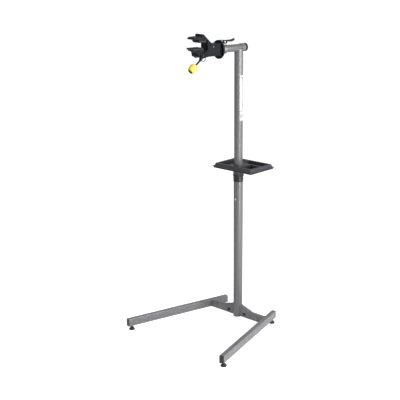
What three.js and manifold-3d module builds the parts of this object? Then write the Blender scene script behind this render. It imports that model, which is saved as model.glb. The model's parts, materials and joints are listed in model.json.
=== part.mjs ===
// Bicycle repair stand: splayed two-leg base, telescopic column, tool tray and clamp head.
// Millimetres, +Z up, the floor at z = 0. The legs and the arm point towards -Y.
import * as THREE from 'three';
import { mergeVertices, toCreasedNormals } from 'three/addons/utils/BufferGeometryUtils.js';
import Module from 'manifold-3d';

const wasm = await Module();
wasm.setup();

// ---- driving dimensions ----
const GAP = 0.3; // clearance between pieces that touch in the real stand
const COLUMN_Y = 184.3; // column axis, placed so that the footprint is centred on the origin
const THROUGH = 400; // length of a cutter that passes right through a piece
const ROUND_FINE = 40; // facets of a tube
const ROUND = 24; // facets of a boss, a knob or a pad
const ROUND_SMALL = 16; // facets of a screw or a pin

const LEG_OFFSET = 192; // column axis to leg centre line, along X
const LEG_FRONT = 514;
const LEG_REAR = 102;
const LEG_SPLAY = THREE.MathUtils.degToRad(15);
const LEG_WIDTH = 24;
const LEG_HEIGHT = 40;
const LEG_WALL = 1.8;
const LEG_CORNER = 3;
const LEG_BOTTOM = 23;
const LEG_CAP = 3;
const LEG_CAP_PLUG = 16;

const STUB_DEPTH = 19;
const STUB_INNER_END = 40;

const WING_WALL = 2;
const WING_END = 88;
const WING_TOP = 84;
const WING_BOTTOM = 25;
const WING_BOLT_X = 54;
const WING_BOLT_Z = 43;
const WING_ROOT = 10; // where the bracket starts, inside the column's cut
const HEX_ACROSS = 13; // M8 heads and nuts
const BOLT_HEAD = 5.3;
const NUT_HEIGHT = 6.5;
const BOLT_REACH = 9.5; // shank past the far wall of the bracket

const FOOT_INSET = 24; // leg end to stud axis
const FOOT_RADIUS = 15;
const FOOT_HEIGHT = 12;
const STUD_RADIUS = 4;
const STUD_TOP = 38;
const STUD_BOTTOM = 4; // inside the pad
const STUD_NUT = 6;

const LOWER_RADIUS = 24;
const LOWER_BORE = 22.4;
const LOWER_BOTTOM = 24;
const LOWER_TOP = 772;
const UPPER_RADIUS = 22;
const UPPER_BORE = 20.4;
const UPPER_BOTTOM = 402;
const GUIDE_SCREW_Z = 666;
const GUIDE_SCREW_RADIUS = 2.5;
const GUIDE_HEAD_RADIUS = 5.5;
const GUIDE_HEAD = 2.6;
const PLUG_LID = 3;
const PLUG_DEPTH = 12;

const FERRULE_RADIUS = 26;
const FERRULE_BOTTOM = 758;
const FERRULE_TOP = 787;
const FERRULE_GROOVE = 1;
const NUT_RADIUS = 28;
const NUT_TOP = 795.4;
const NUT_FLUTES = 24;

const TRAY_TOP = 845;
const TRAY_BOTTOM = 821;
const TRAY_LEFT = 116;
const TRAY_RIGHT = 121;
const TRAY_FRONT = 46;
const TRAY_BACK = 118; // sets the rear edge of the footprint
const TRAY_FLARE = 9;
const TRAY_LIP = 4; // ledge round the tray wall
const TRAY_LIP_BOTTOM = 828;
const TRAY_LIP_HEIGHT = 2.5;
const TRAY_CORNER = 5;
const TRAY_WALL = 2.5;
const TRAY_HUB_RADIUS = 26;
const POCKET_DEPTH = 21;
const POCKET_CORNER = 8;
// Inside of each pocket from the column axis: long left, square front right, wide rear.
const POCKETS = [
  { left: -104, right: -34, front: -34, back: 107 },
  { left: 40, right: 111, front: -36, back: 40 },
  { left: -24, right: 111, front: 50, back: 107 },
];

const ARM_SWIVEL = THREE.MathUtils.degToRad(-10); // arm against the base, about the column
const ARM_Z = 1435.5;
const ARM_RADIUS = 18;
const ARM_BORE = 16;
const ARM_REAR = 41;
const ARM_FRONT = 119;
const SLEEVE_RADIUS = 20;
const SLEEVE_FRONT = -8;
const SLEEVE_REAR = -32;
const CAP_RADIUS = 20.5;
const CAP_REAR = -44;

const COLLAR_RADIUS = 23.5;
const COLLAR_REAR = 87;
const COLLAR_FRONT = 120;
const LUG_TOP = 44.5;
const LUG_WIDTH = 10;
const LUG_SLOT = 4;
const LOCK_A = 103;
const LOCK_Z = 36.5;
const LOCK_X = 19; // cam axis beside the collar
const LOCK_BOLT_RADIUS = 3;
const LOCK_PIVOT = 2;
const LEVER_END = 44;
const LEVER_LEFT = 6; // lever bar, either side of the cam axis
const LEVER_RIGHT = 4;
const EYE_RADIUS = 5; // eye of the quick-release bolt, inside the lever's fork
const EYE_HALF = 3.5;
const FORK_RADIUS = 6.5;
const FORK_HALF = 8;

const DISC_RADIUS = 45.6;
const DISC_REAR = 122;
const DISC_FRONT = 130;
const SPINDLE_RADIUS = 15.6;
const SPINDLE_REAR = 52;

// Head dimensions: a runs along the arm away from the column, z is above the arm axis.
const HEAD_HALF = 28; // half width of head and jaws
const CHEEK_INNER = 21.8; // half width between the cheeks
const PAD_HALF = 27;
const HINGE_A = 244;
const HINGE_Z = -20;
const HINGE_PIN = 4;
const HINGE_LUG = 14;
const HINGE_HEAD = 7;
const CAM_A = 228;
const CAM_Z = -22;
const CAM_PIN = 3;
const CAM_RADIUS = 9;
const CAM_HALF = 6.5;
const JAW_PAD_Z = 8; // top of the lower jaw under its pad
const LOWER_PAD_TOP = 18;
const UPPER_PAD_BOTTOM = 41;
const UPPER_PAD_TOP = 52;
const THROAT_A = 212;
const NECK_RADIUS = 34;
const NECK_FRONT = 137;
const SCREW_A = 178;
const SCREW_Z = 19;
const SCREW_RADIUS = 2;
const SCREW_HEAD_RADIUS = 4;
const SCREW_HEAD = 2;

const ROD_A = 222; // a point on the handle line
const ROD_Z = -30.8;
const ROD_ANGLE = THREE.MathUtils.degToRad(-39.8);
const ROD_RADIUS = 3.5;
const KNOB_START = 57;
const KNOB_END = 97;
const KNOB_RADIUS = 20;
const KNOB_CAP_RADIUS = 9.6;
const RING_RADIUS = 13;
const RING_WIRE = 1.1;
const RING_X = HEAD_HALF + 4;

// ---- materials ----
const paint = new THREE.MeshStandardMaterial({ color: 0x77777c, metalness: 0.2, roughness: 0.35 });
const silver = new THREE.MeshStandardMaterial({ color: 0xc4c5c9, metalness: 0.9, roughness: 0.35 });
const zinc = new THREE.MeshStandardMaterial({ color: 0xa8a9aa, metalness: 0.9, roughness: 0.4 });
const darkZinc = new THREE.MeshStandardMaterial({ color: 0x3a3a3c, metalness: 0.7, roughness: 0.4 });
const casting = new THREE.MeshStandardMaterial({ color: 0x2d3033, metalness: 0.2, roughness: 0.45 });
const blackPlastic = new THREE.MeshStandardMaterial({ color: 0x202123, roughness: 0.5 });
const trayPlastic = new THREE.MeshStandardMaterial({ color: 0x3d3d42, roughness: 0.55 });
const rubber = new THREE.MeshStandardMaterial({ color: 0x161616, roughness: 0.8 });
const yellow = new THREE.MeshStandardMaterial({ color: 0xf3df3c, roughness: 0.4 });

// ---- solids ----
function toSolid(geometry) {
  const bare = geometry.clone();
  bare.deleteAttribute('normal');
  bare.deleteAttribute('uv');
  const merged = mergeVertices(bare, 1e-4);
  const corners = merged.index.array;
  const kept = [];
  for (let i = 0; i < corners.length; i += 3) {
    const [p, q, r] = [corners[i], corners[i + 1], corners[i + 2]];
    if (p !== q && q !== r && r !== p) kept.push(p, q, r);
  }
  return new wasm.Manifold(new wasm.Mesh({
    numProp: 3,
    vertProperties: new Float32Array(merged.attributes.position.array),
    triVerts: new Uint32Array(kept),
  }));
}

function toGeometry(solid) {
  const mesh = solid.getMesh();
  const geometry = new THREE.BufferGeometry();
  geometry.setAttribute('position', new THREE.BufferAttribute(mesh.vertProperties, 3));
  geometry.setIndex(new THREE.BufferAttribute(mesh.triVerts, 1));
  return toCreasedNormals(geometry, Math.PI / 6);
}

function cut(solid, ...tools) {
  return tools.reduce((rest, tool) => rest.subtract(tool), solid);
}

function join(solid, ...others) {
  return others.reduce((sum, other) => sum.add(other), solid);
}

// Cylinder along Z between two heights.
function post(radius, zLow, zHigh, x = 0, y = 0, facets = ROUND) {
  const geometry = new THREE.CylinderGeometry(radius, radius, zHigh - zLow, facets);
  geometry.rotateX(Math.PI / 2);
  geometry.translate(x, y, (zLow + zHigh) / 2);
  return toSolid(geometry);
}

// Turned solid about Z from an outline of [radius, height] points, bottom to top, closed on the axis.
function turned(outline, facets = ROUND) {
  const points = outline.map(([radius, height]) => new THREE.Vector2(radius, height));
  const geometry = new THREE.LatheGeometry(points, facets);
  geometry.rotateX(Math.PI / 2);
  return toSolid(geometry);
}

function block(xLow, xHigh, yLow, yHigh, zLow, zHigh) {
  const geometry = new THREE.BoxGeometry(xHigh - xLow, yHigh - yLow, zHigh - zLow);
  geometry.translate((xLow + xHigh) / 2, (yLow + yHigh) / 2, (zLow + zHigh) / 2);
  return toSolid(geometry);
}

function roundedRect(xLow, xHigh, yLow, yHigh, corner) {
  const shape = new THREE.Shape();
  shape.moveTo(xLow + corner, yLow);
  shape.lineTo(xHigh - corner, yLow);
  shape.absarc(xHigh - corner, yLow + corner, corner, -Math.PI / 2, 0);
  shape.lineTo(xHigh, yHigh - corner);
  shape.absarc(xHigh - corner, yHigh - corner, corner, 0, Math.PI / 2);
  shape.lineTo(xLow + corner, yHigh);
  shape.absarc(xLow + corner, yHigh - corner, corner, Math.PI / 2, Math.PI);
  shape.lineTo(xLow, yLow + corner);
  shape.absarc(xLow + corner, yLow + corner, corner, Math.PI, 1.5 * Math.PI);
  return shape;
}

function outline(points) {
  return new THREE.Shape(points.map(([x, y]) => new THREE.Vector2(x, y)));
}

function regular(sides, acrossFlats) {
  const radius = acrossFlats / 2 / Math.cos(Math.PI / sides);
  const corners = Array.from({ length: sides }, (_, i) => {
    const angle = (2 * Math.PI * i) / sides;
    return [radius * Math.cos(angle), radius * Math.sin(angle)];
  });
  return outline(corners);
}

function prism(shape, depth) {
  return new THREE.ExtrudeGeometry(shape, { depth, bevelEnabled: false, curveSegments: 4 });
}

// Shape X stays X and shape Y becomes Z: the section runs along -Y from yBack to yFront.
function alongY(shape, yBack, yFront) {
  const geometry = prism(shape, yBack - yFront);
  geometry.rotateX(Math.PI / 2);
  geometry.translate(0, yBack, 0);
  return geometry;
}

// Side outline in (a, z), spread across the head between two x values.
function sideways(shape, xLow, xHigh) {
  const geometry = prism(shape, xHigh - xLow);
  const axes = new THREE.Matrix4().makeBasis(
    new THREE.Vector3(0, -1, 0), new THREE.Vector3(0, 0, 1), new THREE.Vector3(-1, 0, 0),
  );
  geometry.applyMatrix4(axes);
  geometry.translate(xHigh, 0, 0);
  return toSolid(geometry);
}

// Cylinder across the head at (a, z).
function crossPin(radius, a, z, xLow, xHigh, facets = ROUND_SMALL) {
  const geometry = new THREE.CylinderGeometry(radius, radius, xHigh - xLow, facets);
  geometry.rotateZ(Math.PI / 2);
  geometry.translate((xLow + xHigh) / 2, -a, z);
  return toSolid(geometry);
}

// Cylinder along the arm between two a values.
function armRod(radius, aLow, aHigh, facets = ROUND) {
  const geometry = new THREE.CylinderGeometry(radius, radius, aHigh - aLow, facets);
  geometry.translate(0, -(aLow + aHigh) / 2, 0);
  return toSolid(geometry);
}

// Points of an arc in (a, z), angles in degrees.
function arc(a, z, radius, from, to, steps = 8) {
  return Array.from({ length: steps + 1 }, (_, i) => {
    const angle = THREE.MathUtils.degToRad(from + ((to - from) * i) / steps);
    return [a + radius * Math.cos(angle), z + radius * Math.sin(angle)];
  });
}

const stand = new THREE.Group();
stand.name = 'bicycle_repair_stand';
const base = new THREE.Group();
base.position.y = COLUMN_Y;
const arm = new THREE.Group();
arm.position.z = ARM_Z;
arm.rotation.z = ARM_SWIVEL;
stand.add(base);
base.add(arm);

function add(name, solid, material, group = base) {
  const mesh = new THREE.Mesh(toGeometry(solid), material);
  mesh.name = name;
  group.add(mesh);
  return mesh;
}

// ---- legs, feet and cross member ----
const legTop = LEG_BOTTOM + LEG_HEIGHT;
const stubHalf = STUB_DEPTH / 2;
const wingHalf = stubHalf + GAP + WING_WALL;

function legGroup(side) {
  const group = new THREE.Group();
  group.position.x = side * LEG_OFFSET;
  group.rotation.z = side * LEG_SPLAY;
  group.updateMatrix();
  base.add(group);
  return group;
}

function legSection(inset) {
  const half = LEG_WIDTH / 2 - inset;
  return roundedRect(-half, half, LEG_BOTTOM + inset, legTop - inset, LEG_CORNER - inset * 0.6);
}

function legGeometry(inset, yBack, yFront) {
  return alongY(legSection(inset), yBack, yFront);
}

const boltHole = STUD_RADIUS + GAP;

for (const [side, label] of [[-1, 'left'], [1, 'right']]) {
  const group = legGroup(side);
  const tubeBack = LEG_REAR - LEG_CAP - GAP;
  const tubeFront = LEG_CAP + GAP - LEG_FRONT;
  const studAt = { front: FOOT_INSET - LEG_FRONT, rear: LEG_REAR - FOOT_INSET };
  const holes = Object.values(studAt).map((y) => post(boltHole, 0, LEG_BOTTOM + 5, 0, y));
  const leg = cut(
    toSolid(legGeometry(0, tubeBack, tubeFront)),
    toSolid(legGeometry(LEG_WALL, LEG_REAR + 1, -LEG_FRONT - 1)),
    ...holes,
  );
  add(`${label}_leg`, leg, paint, group);

  for (const [end, direction, edge] of [['front', -1, -LEG_FRONT], ['rear', 1, LEG_REAR]]) {
    const inner = edge - direction * LEG_CAP;
    const plugEnd = inner - direction * LEG_CAP_PLUG;
    const lid = toSolid(legGeometry(0, Math.max(edge, inner), Math.min(edge, inner)));
    const plug = toSolid(legGeometry(LEG_WALL + GAP, Math.max(edge, plugEnd), Math.min(edge, plugEnd)));
    add(`${end}_${label}_cap`, join(lid, plug), blackPlastic, group);

    const pad = cut(
      turned([
        [0, 0], [FOOT_RADIUS - 1, 0], [FOOT_RADIUS, 1.5], [FOOT_RADIUS, 5],
        [FOOT_RADIUS - 5, FOOT_HEIGHT], [0, FOOT_HEIGHT],
      ]),
      post(boltHole, STUD_BOTTOM, FOOT_HEIGHT + 1),
    );
    const stud = join(
      post(STUD_RADIUS, STUD_BOTTOM + GAP, STUD_TOP, 0, 0, ROUND_SMALL),
      toSolid(prism(regular(6, HEX_ACROSS), STUD_NUT).translate(0, 0, FOOT_HEIGHT + 3)),
    );
    add(`${end}_${label}_foot_pad`, pad, rubber, group).position.y = studAt[end];
    add(`${end}_${label}_foot_stud`, stud, zinc, group).position.y = studAt[end];
  }

  const legBlock = toSolid(legGeometry(-GAP, LEG_REAR, -LEG_FRONT).applyMatrix4(group.matrix));
  const [stubLow, stubHigh] = side > 0 ? [STUB_INNER_END, LEG_OFFSET] : [-LEG_OFFSET, -STUB_INNER_END];
  const acrossBolt = new THREE.CylinderGeometry(boltHole, boltHole, THROUGH, ROUND_SMALL);
  acrossBolt.translate(side * WING_BOLT_X, 0, WING_BOLT_Z);
  const boltCut = toSolid(acrossBolt);
  const stub = cut(
    block(stubLow, stubHigh, -stubHalf, stubHalf, LEG_BOTTOM, legTop),
    block(
      stubLow - 1, stubHigh + 1, LEG_WALL - stubHalf, stubHalf - LEG_WALL,
      LEG_BOTTOM + LEG_WALL, legTop - LEG_WALL,
    ),
    legBlock,
    boltCut,
  );
  add(`${label}_stub`, stub, paint);

  const wingEndTop = legTop + GAP + WING_WALL;
  const wingOuter = [
    [side * WING_ROOT, WING_BOTTOM], [side * WING_END, WING_BOTTOM], [side * WING_END, wingEndTop],
    [side * LOWER_RADIUS, WING_TOP], [side * WING_ROOT, WING_TOP],
  ];
  const roofFall = (WING_TOP - wingEndTop) / (WING_END - LOWER_RADIUS);
  const beyond = 10; // how far the cutter runs past the bracket's open end
  const wingInner = [
    [side * WING_ROOT, 0], [side * (WING_END + beyond), 0],
    [side * (WING_END + beyond), wingEndTop - WING_WALL - beyond * roofFall],
    [side * LOWER_RADIUS, WING_TOP - WING_WALL], [side * WING_ROOT, WING_TOP - WING_WALL],
  ];
  const order = (points) => (side > 0 ? points : [...points].reverse());
  const wing = cut(
    toSolid(alongY(outline(order(wingOuter)), wingHalf, -wingHalf)),
    toSolid(alongY(outline(order(wingInner)), wingHalf - WING_WALL, WING_WALL - wingHalf)),
    post(LOWER_RADIUS + GAP, 0, THROUGH, 0, 0, ROUND_FINE),
    boltCut,
  );
  add(`${label}_wing`, wing, paint);

  const headFace = -wingHalf - GAP;
  const nutFace = wingHalf + GAP;
  const shankStart = headFace - 1;
  const shankEnd = wingHalf + BOLT_REACH;
  const shank = new THREE.CylinderGeometry(STUD_RADIUS, STUD_RADIUS, shankEnd - shankStart, ROUND_SMALL);
  shank.translate(side * WING_BOLT_X, (shankEnd + shankStart) / 2, WING_BOLT_Z);
  const hex = (yBack, yFront) => {
    const geometry = alongY(regular(6, HEX_ACROSS), yBack, yFront);
    geometry.translate(side * WING_BOLT_X, 0, WING_BOLT_Z);
    return toSolid(geometry);
  };
  const bolt = join(toSolid(shank), hex(headFace, headFace - BOLT_HEAD));
  add(`${label}_wing_bolt`, bolt, darkZinc);
  add(`${label}_wing_nut`, cut(hex(nutFace + NUT_HEIGHT, nutFace), boltCut), darkZinc);
}

// ---- column ----
const guideBore = GUIDE_SCREW_RADIUS + GAP;
const guideHole = new THREE.CylinderGeometry(guideBore, guideBore, 20, ROUND_SMALL);
guideHole.translate(0, -LOWER_RADIUS, GUIDE_SCREW_Z);
add('lower_column', cut(
  post(LOWER_RADIUS, LOWER_BOTTOM, LOWER_TOP, 0, 0, ROUND_FINE),
  post(LOWER_BORE, 0, THROUGH + LOWER_TOP, 0, 0, ROUND_FINE),
  toSolid(guideHole),
), paint);

add('column_plug', join(
  post(LOWER_RADIUS, LOWER_BOTTOM - PLUG_LID - GAP, LOWER_BOTTOM - GAP, 0, 0, ROUND_FINE),
  post(LOWER_BORE - GAP, LOWER_BOTTOM - 1, LOWER_BOTTOM + PLUG_DEPTH, 0, 0, ROUND_FINE),
), blackPlastic);

const guideShank = new THREE.CylinderGeometry(GUIDE_SCREW_RADIUS, GUIDE_SCREW_RADIUS, 3, ROUND_SMALL);
guideShank.translate(0, -LOWER_RADIUS, GUIDE_SCREW_Z);
const guideHead = new THREE.CylinderGeometry(
  GUIDE_HEAD_RADIUS, GUIDE_HEAD_RADIUS - 1.5, GUIDE_HEAD, ROUND_SMALL,
);
guideHead.translate(0, -LOWER_RADIUS - GAP - GUIDE_HEAD / 2, GUIDE_SCREW_Z);
add('guide_screw', join(toSolid(guideShank), toSolid(guideHead)), zinc);

const bandHeight = (FERRULE_TOP - FERRULE_BOTTOM) / 3;
const ferruleOutline = [[0, FERRULE_BOTTOM]];
for (let band = 0; band < 3; band += 1) {
  const low = FERRULE_BOTTOM + band * bandHeight;
  ferruleOutline.push(
    [FERRULE_RADIUS - FERRULE_GROOVE, low], [FERRULE_RADIUS, low + 2],
    [FERRULE_RADIUS, low + bandHeight - 2], [FERRULE_RADIUS - FERRULE_GROOVE, low + bandHeight - 0.5],
  );
}
ferruleOutline.push([0, FERRULE_TOP]);
add('collar_ferrule', cut(
  turned(ferruleOutline, ROUND_FINE),
  post(LOWER_RADIUS + GAP, 0, THROUGH + LOWER_TOP, 0, 0, ROUND_FINE),
), blackPlastic);

const fluteOutline = Array.from({ length: NUT_FLUTES * 4 }, (_, i) => {
  const angle = (2 * Math.PI * i) / (NUT_FLUTES * 4);
  const radius = i % 4 < 2 ? NUT_RADIUS : NUT_RADIUS - 1;
  return [radius * Math.cos(angle), radius * Math.sin(angle)];
});
add('collar_nut', cut(
  toSolid(prism(outline(fluteOutline), NUT_TOP - FERRULE_TOP - 0.5).translate(0, 0, FERRULE_TOP + 0.5)),
  post(UPPER_RADIUS + 0.5, 0, THROUGH + NUT_TOP, 0, 0, ROUND_FINE),
), blackPlastic);

add('collet', cut(
  post(LOWER_RADIUS - GAP, LOWER_TOP + 0.5, FERRULE_TOP - GAP, 0, 0, ROUND_FINE),
  post(UPPER_RADIUS + GAP, 0, THROUGH + NUT_TOP, 0, 0, ROUND_FINE),
  block(-1, 1, 0, THROUGH, 0, 2 * THROUGH + NUT_TOP),
), blackPlastic);

const armCutter = armRod(ARM_RADIUS + GAP, -THROUGH, THROUGH, ROUND_FINE);
const upperColumn = cut(
  post(UPPER_RADIUS, UPPER_BOTTOM - ARM_Z, 0, 0, 0, ROUND_FINE),
  post(UPPER_BORE, -2 * ARM_Z, ARM_Z, 0, 0, ROUND_FINE),
  armCutter,
  block(-THROUGH, THROUGH, -THROUGH, THROUGH, -ARM_RADIUS / 3, THROUGH),
);
add('upper_column', upperColumn, paint, arm);

// ---- tool tray ----
// Tray body that flares towards its foot.
function trayBlock(grow, zLow, zHigh) {
  const shape = (extra) => roundedRect(
    -TRAY_LEFT - grow - extra, TRAY_RIGHT + grow + extra,
    -TRAY_FRONT - grow - extra, TRAY_BACK + grow + extra, TRAY_CORNER,
  );
  const top = shape(0).getPoints(3);
  const bottom = shape(TRAY_FLARE).getPoints(3);
  const positions = [];
  const faces = THREE.ShapeUtils.triangulateShape(top, []);
  const count = top.length;
  for (const point of bottom) positions.push(point.x, point.y, zLow);
  for (const point of top) positions.push(point.x, point.y, zHigh);
  const index = [];
  for (const [p, q, r] of faces) {
    index.push(r, q, p, count + p, count + q, count + r);
  }
  for (let i = 0; i < count; i += 1) {
    const next = (i + 1) % count;
    index.push(i, next, count + next, i, count + next, count + i);
  }
  const geometry = new THREE.BufferGeometry();
  geometry.setAttribute('position', new THREE.Float32BufferAttribute(positions, 3));
  geometry.setIndex(index);
  return toSolid(geometry);
}

// Upright prism of a rectangle grown on every side.
function rectPrism({ left, right, front, back }, grow, corner, zLow, zHigh) {
  const shape = roundedRect(left - grow, right + grow, front - grow, back + grow, corner);
  return toSolid(prism(shape, zHigh - zLow).translate(0, 0, zLow));
}

const pocketFloor = TRAY_TOP - POCKET_DEPTH;
const lipReach = TRAY_FLARE + TRAY_LIP;
const trayLip = rectPrism(
  { left: -TRAY_LEFT, right: TRAY_RIGHT, front: -TRAY_FRONT, back: TRAY_BACK },
  lipReach, TRAY_CORNER, TRAY_LIP_BOTTOM, TRAY_LIP_BOTTOM + TRAY_LIP_HEIGHT,
);
const trayHub = post(TRAY_HUB_RADIUS, NUT_TOP + 0.5, TRAY_TOP, 0, 0, ROUND_FINE);
const pocketShells = POCKETS.map((pocket) => (
  rectPrism(pocket, TRAY_WALL, POCKET_CORNER + TRAY_WALL, pocketFloor - TRAY_WALL, TRAY_TOP)
));
const pocketCuts = POCKETS.map((pocket) => rectPrism(pocket, 0, POCKET_CORNER, pocketFloor, TRAY_TOP + 1));
add('tool_tray', cut(
  join(
    cut(
      join(trayBlock(0, TRAY_BOTTOM, TRAY_TOP), trayLip),
      trayBlock(-TRAY_WALL, TRAY_BOTTOM - TRAY_WALL, TRAY_TOP - TRAY_WALL),
    ),
    trayHub,
    ...pocketShells,
  ),
  ...pocketCuts,
  post(UPPER_RADIUS + 0.5, 0, THROUGH + TRAY_TOP, 0, 0, ROUND_FINE),
), trayPlastic);

// ---- arm and rotation lock ----
const slotCut = block(-LUG_SLOT / 2, LUG_SLOT / 2, -THROUGH, -COLLAR_REAR + 14, 0, THROUGH);
add('arm_tube', cut(
  armRod(ARM_RADIUS, -ARM_REAR, ARM_FRONT, ROUND_FINE),
  armRod(ARM_BORE, -THROUGH, THROUGH, ROUND_FINE),
  slotCut,
), paint, arm);

add('arm_sleeve', cut(
  armRod(SLEEVE_RADIUS, SLEEVE_REAR, SLEEVE_FRONT, ROUND_FINE),
  armRod(ARM_RADIUS + GAP, -THROUGH, THROUGH, ROUND_FINE),
  post(UPPER_RADIUS + 0.8, -THROUGH, 0, 0, 0, ROUND_FINE),
), paint, arm);

add('arm_rear_cap', cut(
  armRod(CAP_RADIUS, CAP_REAR, SLEEVE_REAR - GAP, ROUND_FINE),
  armRod(ARM_RADIUS + GAP, -ARM_REAR - GAP, THROUGH, ROUND_FINE),
), blackPlastic, arm);

const lugHalf = LUG_SLOT / 2 + LUG_WIDTH;
const lugShape = roundedRect(COLLAR_REAR, COLLAR_FRONT, 0, LUG_TOP, 6);
const lockHole = crossPin(LOCK_BOLT_RADIUS + GAP, LOCK_A, LOCK_Z, -THROUGH, THROUGH);
add('clamp_collar', cut(
  join(
    armRod(COLLAR_RADIUS, COLLAR_REAR, COLLAR_FRONT, ROUND_FINE),
    sideways(lugShape, -lugHalf, lugHalf),
  ),
  armRod(ARM_RADIUS + GAP, -THROUGH, THROUGH, ROUND_FINE),
  slotCut,
  lockHole,
), silver, arm);

const lockBolt = join(
  crossPin(LOCK_BOLT_RADIUS, LOCK_A, LOCK_Z, -lugHalf - 4, LOCK_X),
  crossPin(HEX_ACROSS / 2, LOCK_A, LOCK_Z, -lugHalf - 5, -lugHalf - GAP, 6),
  post(EYE_RADIUS, LOCK_Z - EYE_HALF, LOCK_Z + EYE_HALF, LOCK_X, -LOCK_A, ROUND_SMALL),
  post(LOCK_PIVOT, LOCK_Z - FORK_HALF, LOCK_Z + FORK_HALF, LOCK_X, -LOCK_A, ROUND_SMALL),
);
add('lock_bolt', lockBolt, zinc, arm);

const forkTop = LOCK_Z + FORK_HALF;
const forkSpace = EYE_HALF + 0.4;
const fork = join(
  post(FORK_RADIUS, LOCK_Z - FORK_HALF, forkTop, LOCK_X, -LOCK_A, ROUND_SMALL),
  block(
    LOCK_X - FORK_RADIUS, LOCK_X + FORK_RADIUS, -LOCK_A, EYE_RADIUS + 5 - LOCK_A,
    LOCK_Z - FORK_HALF, forkTop,
  ),
);
const slottedFork = cut(
  fork,
  post(EYE_RADIUS + 1.5, LOCK_Z - forkSpace, LOCK_Z + forkSpace, LOCK_X, -LOCK_A),
  block(-THROUGH, LOCK_X + FORK_RADIUS + 1, -THROUGH, -LOCK_A, LOCK_Z - forkSpace, LOCK_Z + forkSpace),
  block(-THROUGH, LOCK_X, -LOCK_A - 1, 4 - LOCK_A, LOCK_Z - forkSpace, LOCK_Z + forkSpace),
  post(LOCK_PIVOT + GAP, LOCK_Z - THROUGH, LOCK_Z + THROUGH, LOCK_X, -LOCK_A, ROUND_SMALL),
);
// Bar that dips behind the fork and rises to a finger grip; the fork's root is 10 behind its axis.
const leverBar = sideways(outline([
  [LOCK_A - 6, forkTop], [LOCK_A - 6, forkTop - 3.8], [LOCK_A - 10, forkTop - 6],
  [LOCK_A - 40, forkTop - 7.5], [LOCK_A - 50, forkTop - 5], [LEVER_END, forkTop - 1],
  [LEVER_END, forkTop + 6], [LOCK_A - 52, forkTop + 3.5], [LOCK_A - 40, forkTop - 1],
  [LOCK_A - 18, forkTop - 0.5],
]), LOCK_X - LEVER_LEFT, LOCK_X + LEVER_RIGHT);
add('lock_lever', join(slottedFork, leverBar), blackPlastic, arm);

// ---- clamp head ----
add('head_spindle', armRod(SPINDLE_RADIUS, SPINDLE_REAR, DISC_REAR - GAP, ROUND_FINE), zinc, arm);
const disc = join(
  armRod(DISC_RADIUS, DISC_REAR + 1.5, DISC_FRONT - 1.5, ROUND_FINE),
  armRod(DISC_RADIUS - 1.5, DISC_REAR, DISC_FRONT, ROUND_FINE),
);
add('flange_disc', disc, casting, arm);

const bodyOutline = outline([
  [DISC_FRONT + GAP, -30], [140, -27], [206, -27], [230, -31],
  ...arc(HINGE_A, HINGE_Z, HINGE_LUG, -110, 80, 10),
  [224, -5], [THROAT_A, 6], [THROAT_A, UPPER_PAD_TOP],
  [262, UPPER_PAD_TOP], [272, 56], [290, 57], [294, 60], [290, 66], [284, 69],
  [262, 69], [257, 71], [246, 67], [245, 81], [236, 81], [185, 33], [140, 31], [DISC_FRONT + GAP, 34],
]);
const pocketOutline = outline([
  [198, -60], [270, -60], [270, 12], [232, 12], [210, -6], [198, -12],
]);
const hingeHole = crossPin(HINGE_PIN + GAP, HINGE_A, HINGE_Z, -THROUGH, THROUGH);
const camHole = crossPin(CAM_PIN + GAP, CAM_A, CAM_Z, -THROUGH, THROUGH);
const headBody = cut(
  join(
    sideways(bodyOutline, -HEAD_HALF, HEAD_HALF),
    armRod(NECK_RADIUS, DISC_FRONT + GAP, NECK_FRONT),
  ),
  sideways(pocketOutline, -CHEEK_INNER, CHEEK_INNER),
  block(-20, 20, -190, -142, -60, 22),
  hingeHole,
  camHole,
  crossPin(SCREW_RADIUS + GAP, SCREW_A, SCREW_Z, HEAD_HALF - 7, HEAD_HALF + 5),
);
add('head_body', headBody, casting, arm);

add('head_screw', join(
  crossPin(SCREW_RADIUS, SCREW_A, SCREW_Z, HEAD_HALF - 6, HEAD_HALF + 1),
  crossPin(SCREW_HEAD_RADIUS, SCREW_A, SCREW_Z, HEAD_HALF + GAP, HEAD_HALF + GAP + SCREW_HEAD),
), silver, arm);

add('upper_pad', sideways(outline([
  [THROAT_A + 6, UPPER_PAD_TOP - GAP], [222, UPPER_PAD_BOTTOM], [258, UPPER_PAD_BOTTOM],
  [268, UPPER_PAD_TOP - GAP],
]), -PAD_HALF, PAD_HALF), rubber, arm);

const jawOutline = outline([
  [236, JAW_PAD_Z], [231, -2.5], [241, -4.5],
  ...arc(HINGE_A, HINGE_Z, HINGE_LUG + 0.7, 98, -25, 8),
  [262, -26], [267, -23], [270, -6], [276, 1], [287, 2], [291, JAW_PAD_Z],
]);
const tongueOutline = outline([
  [232, JAW_PAD_Z], [228, -2], [226.5, -8],
  ...arc(HINGE_A, HINGE_Z, 11.5, 180, 300, 8),
  [262, -26], [262, JAW_PAD_Z],
]);
add('lower_jaw', cut(
  join(
    sideways(jawOutline, -HEAD_HALF, HEAD_HALF),
    sideways(tongueOutline, -CHEEK_INNER + 0.8, CHEEK_INNER - 0.8),
  ),
  block(-8, 8, -255, -200, -60, JAW_PAD_Z - 4),
  hingeHole,
), casting, arm);

add('lower_pad', sideways(outline([
  [238, LOWER_PAD_TOP], [238, JAW_PAD_Z + GAP], [292, JAW_PAD_Z + GAP], [298, 12],
  [301, LOWER_PAD_TOP],
]), -PAD_HALF, PAD_HALF), rubber, arm);

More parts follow.
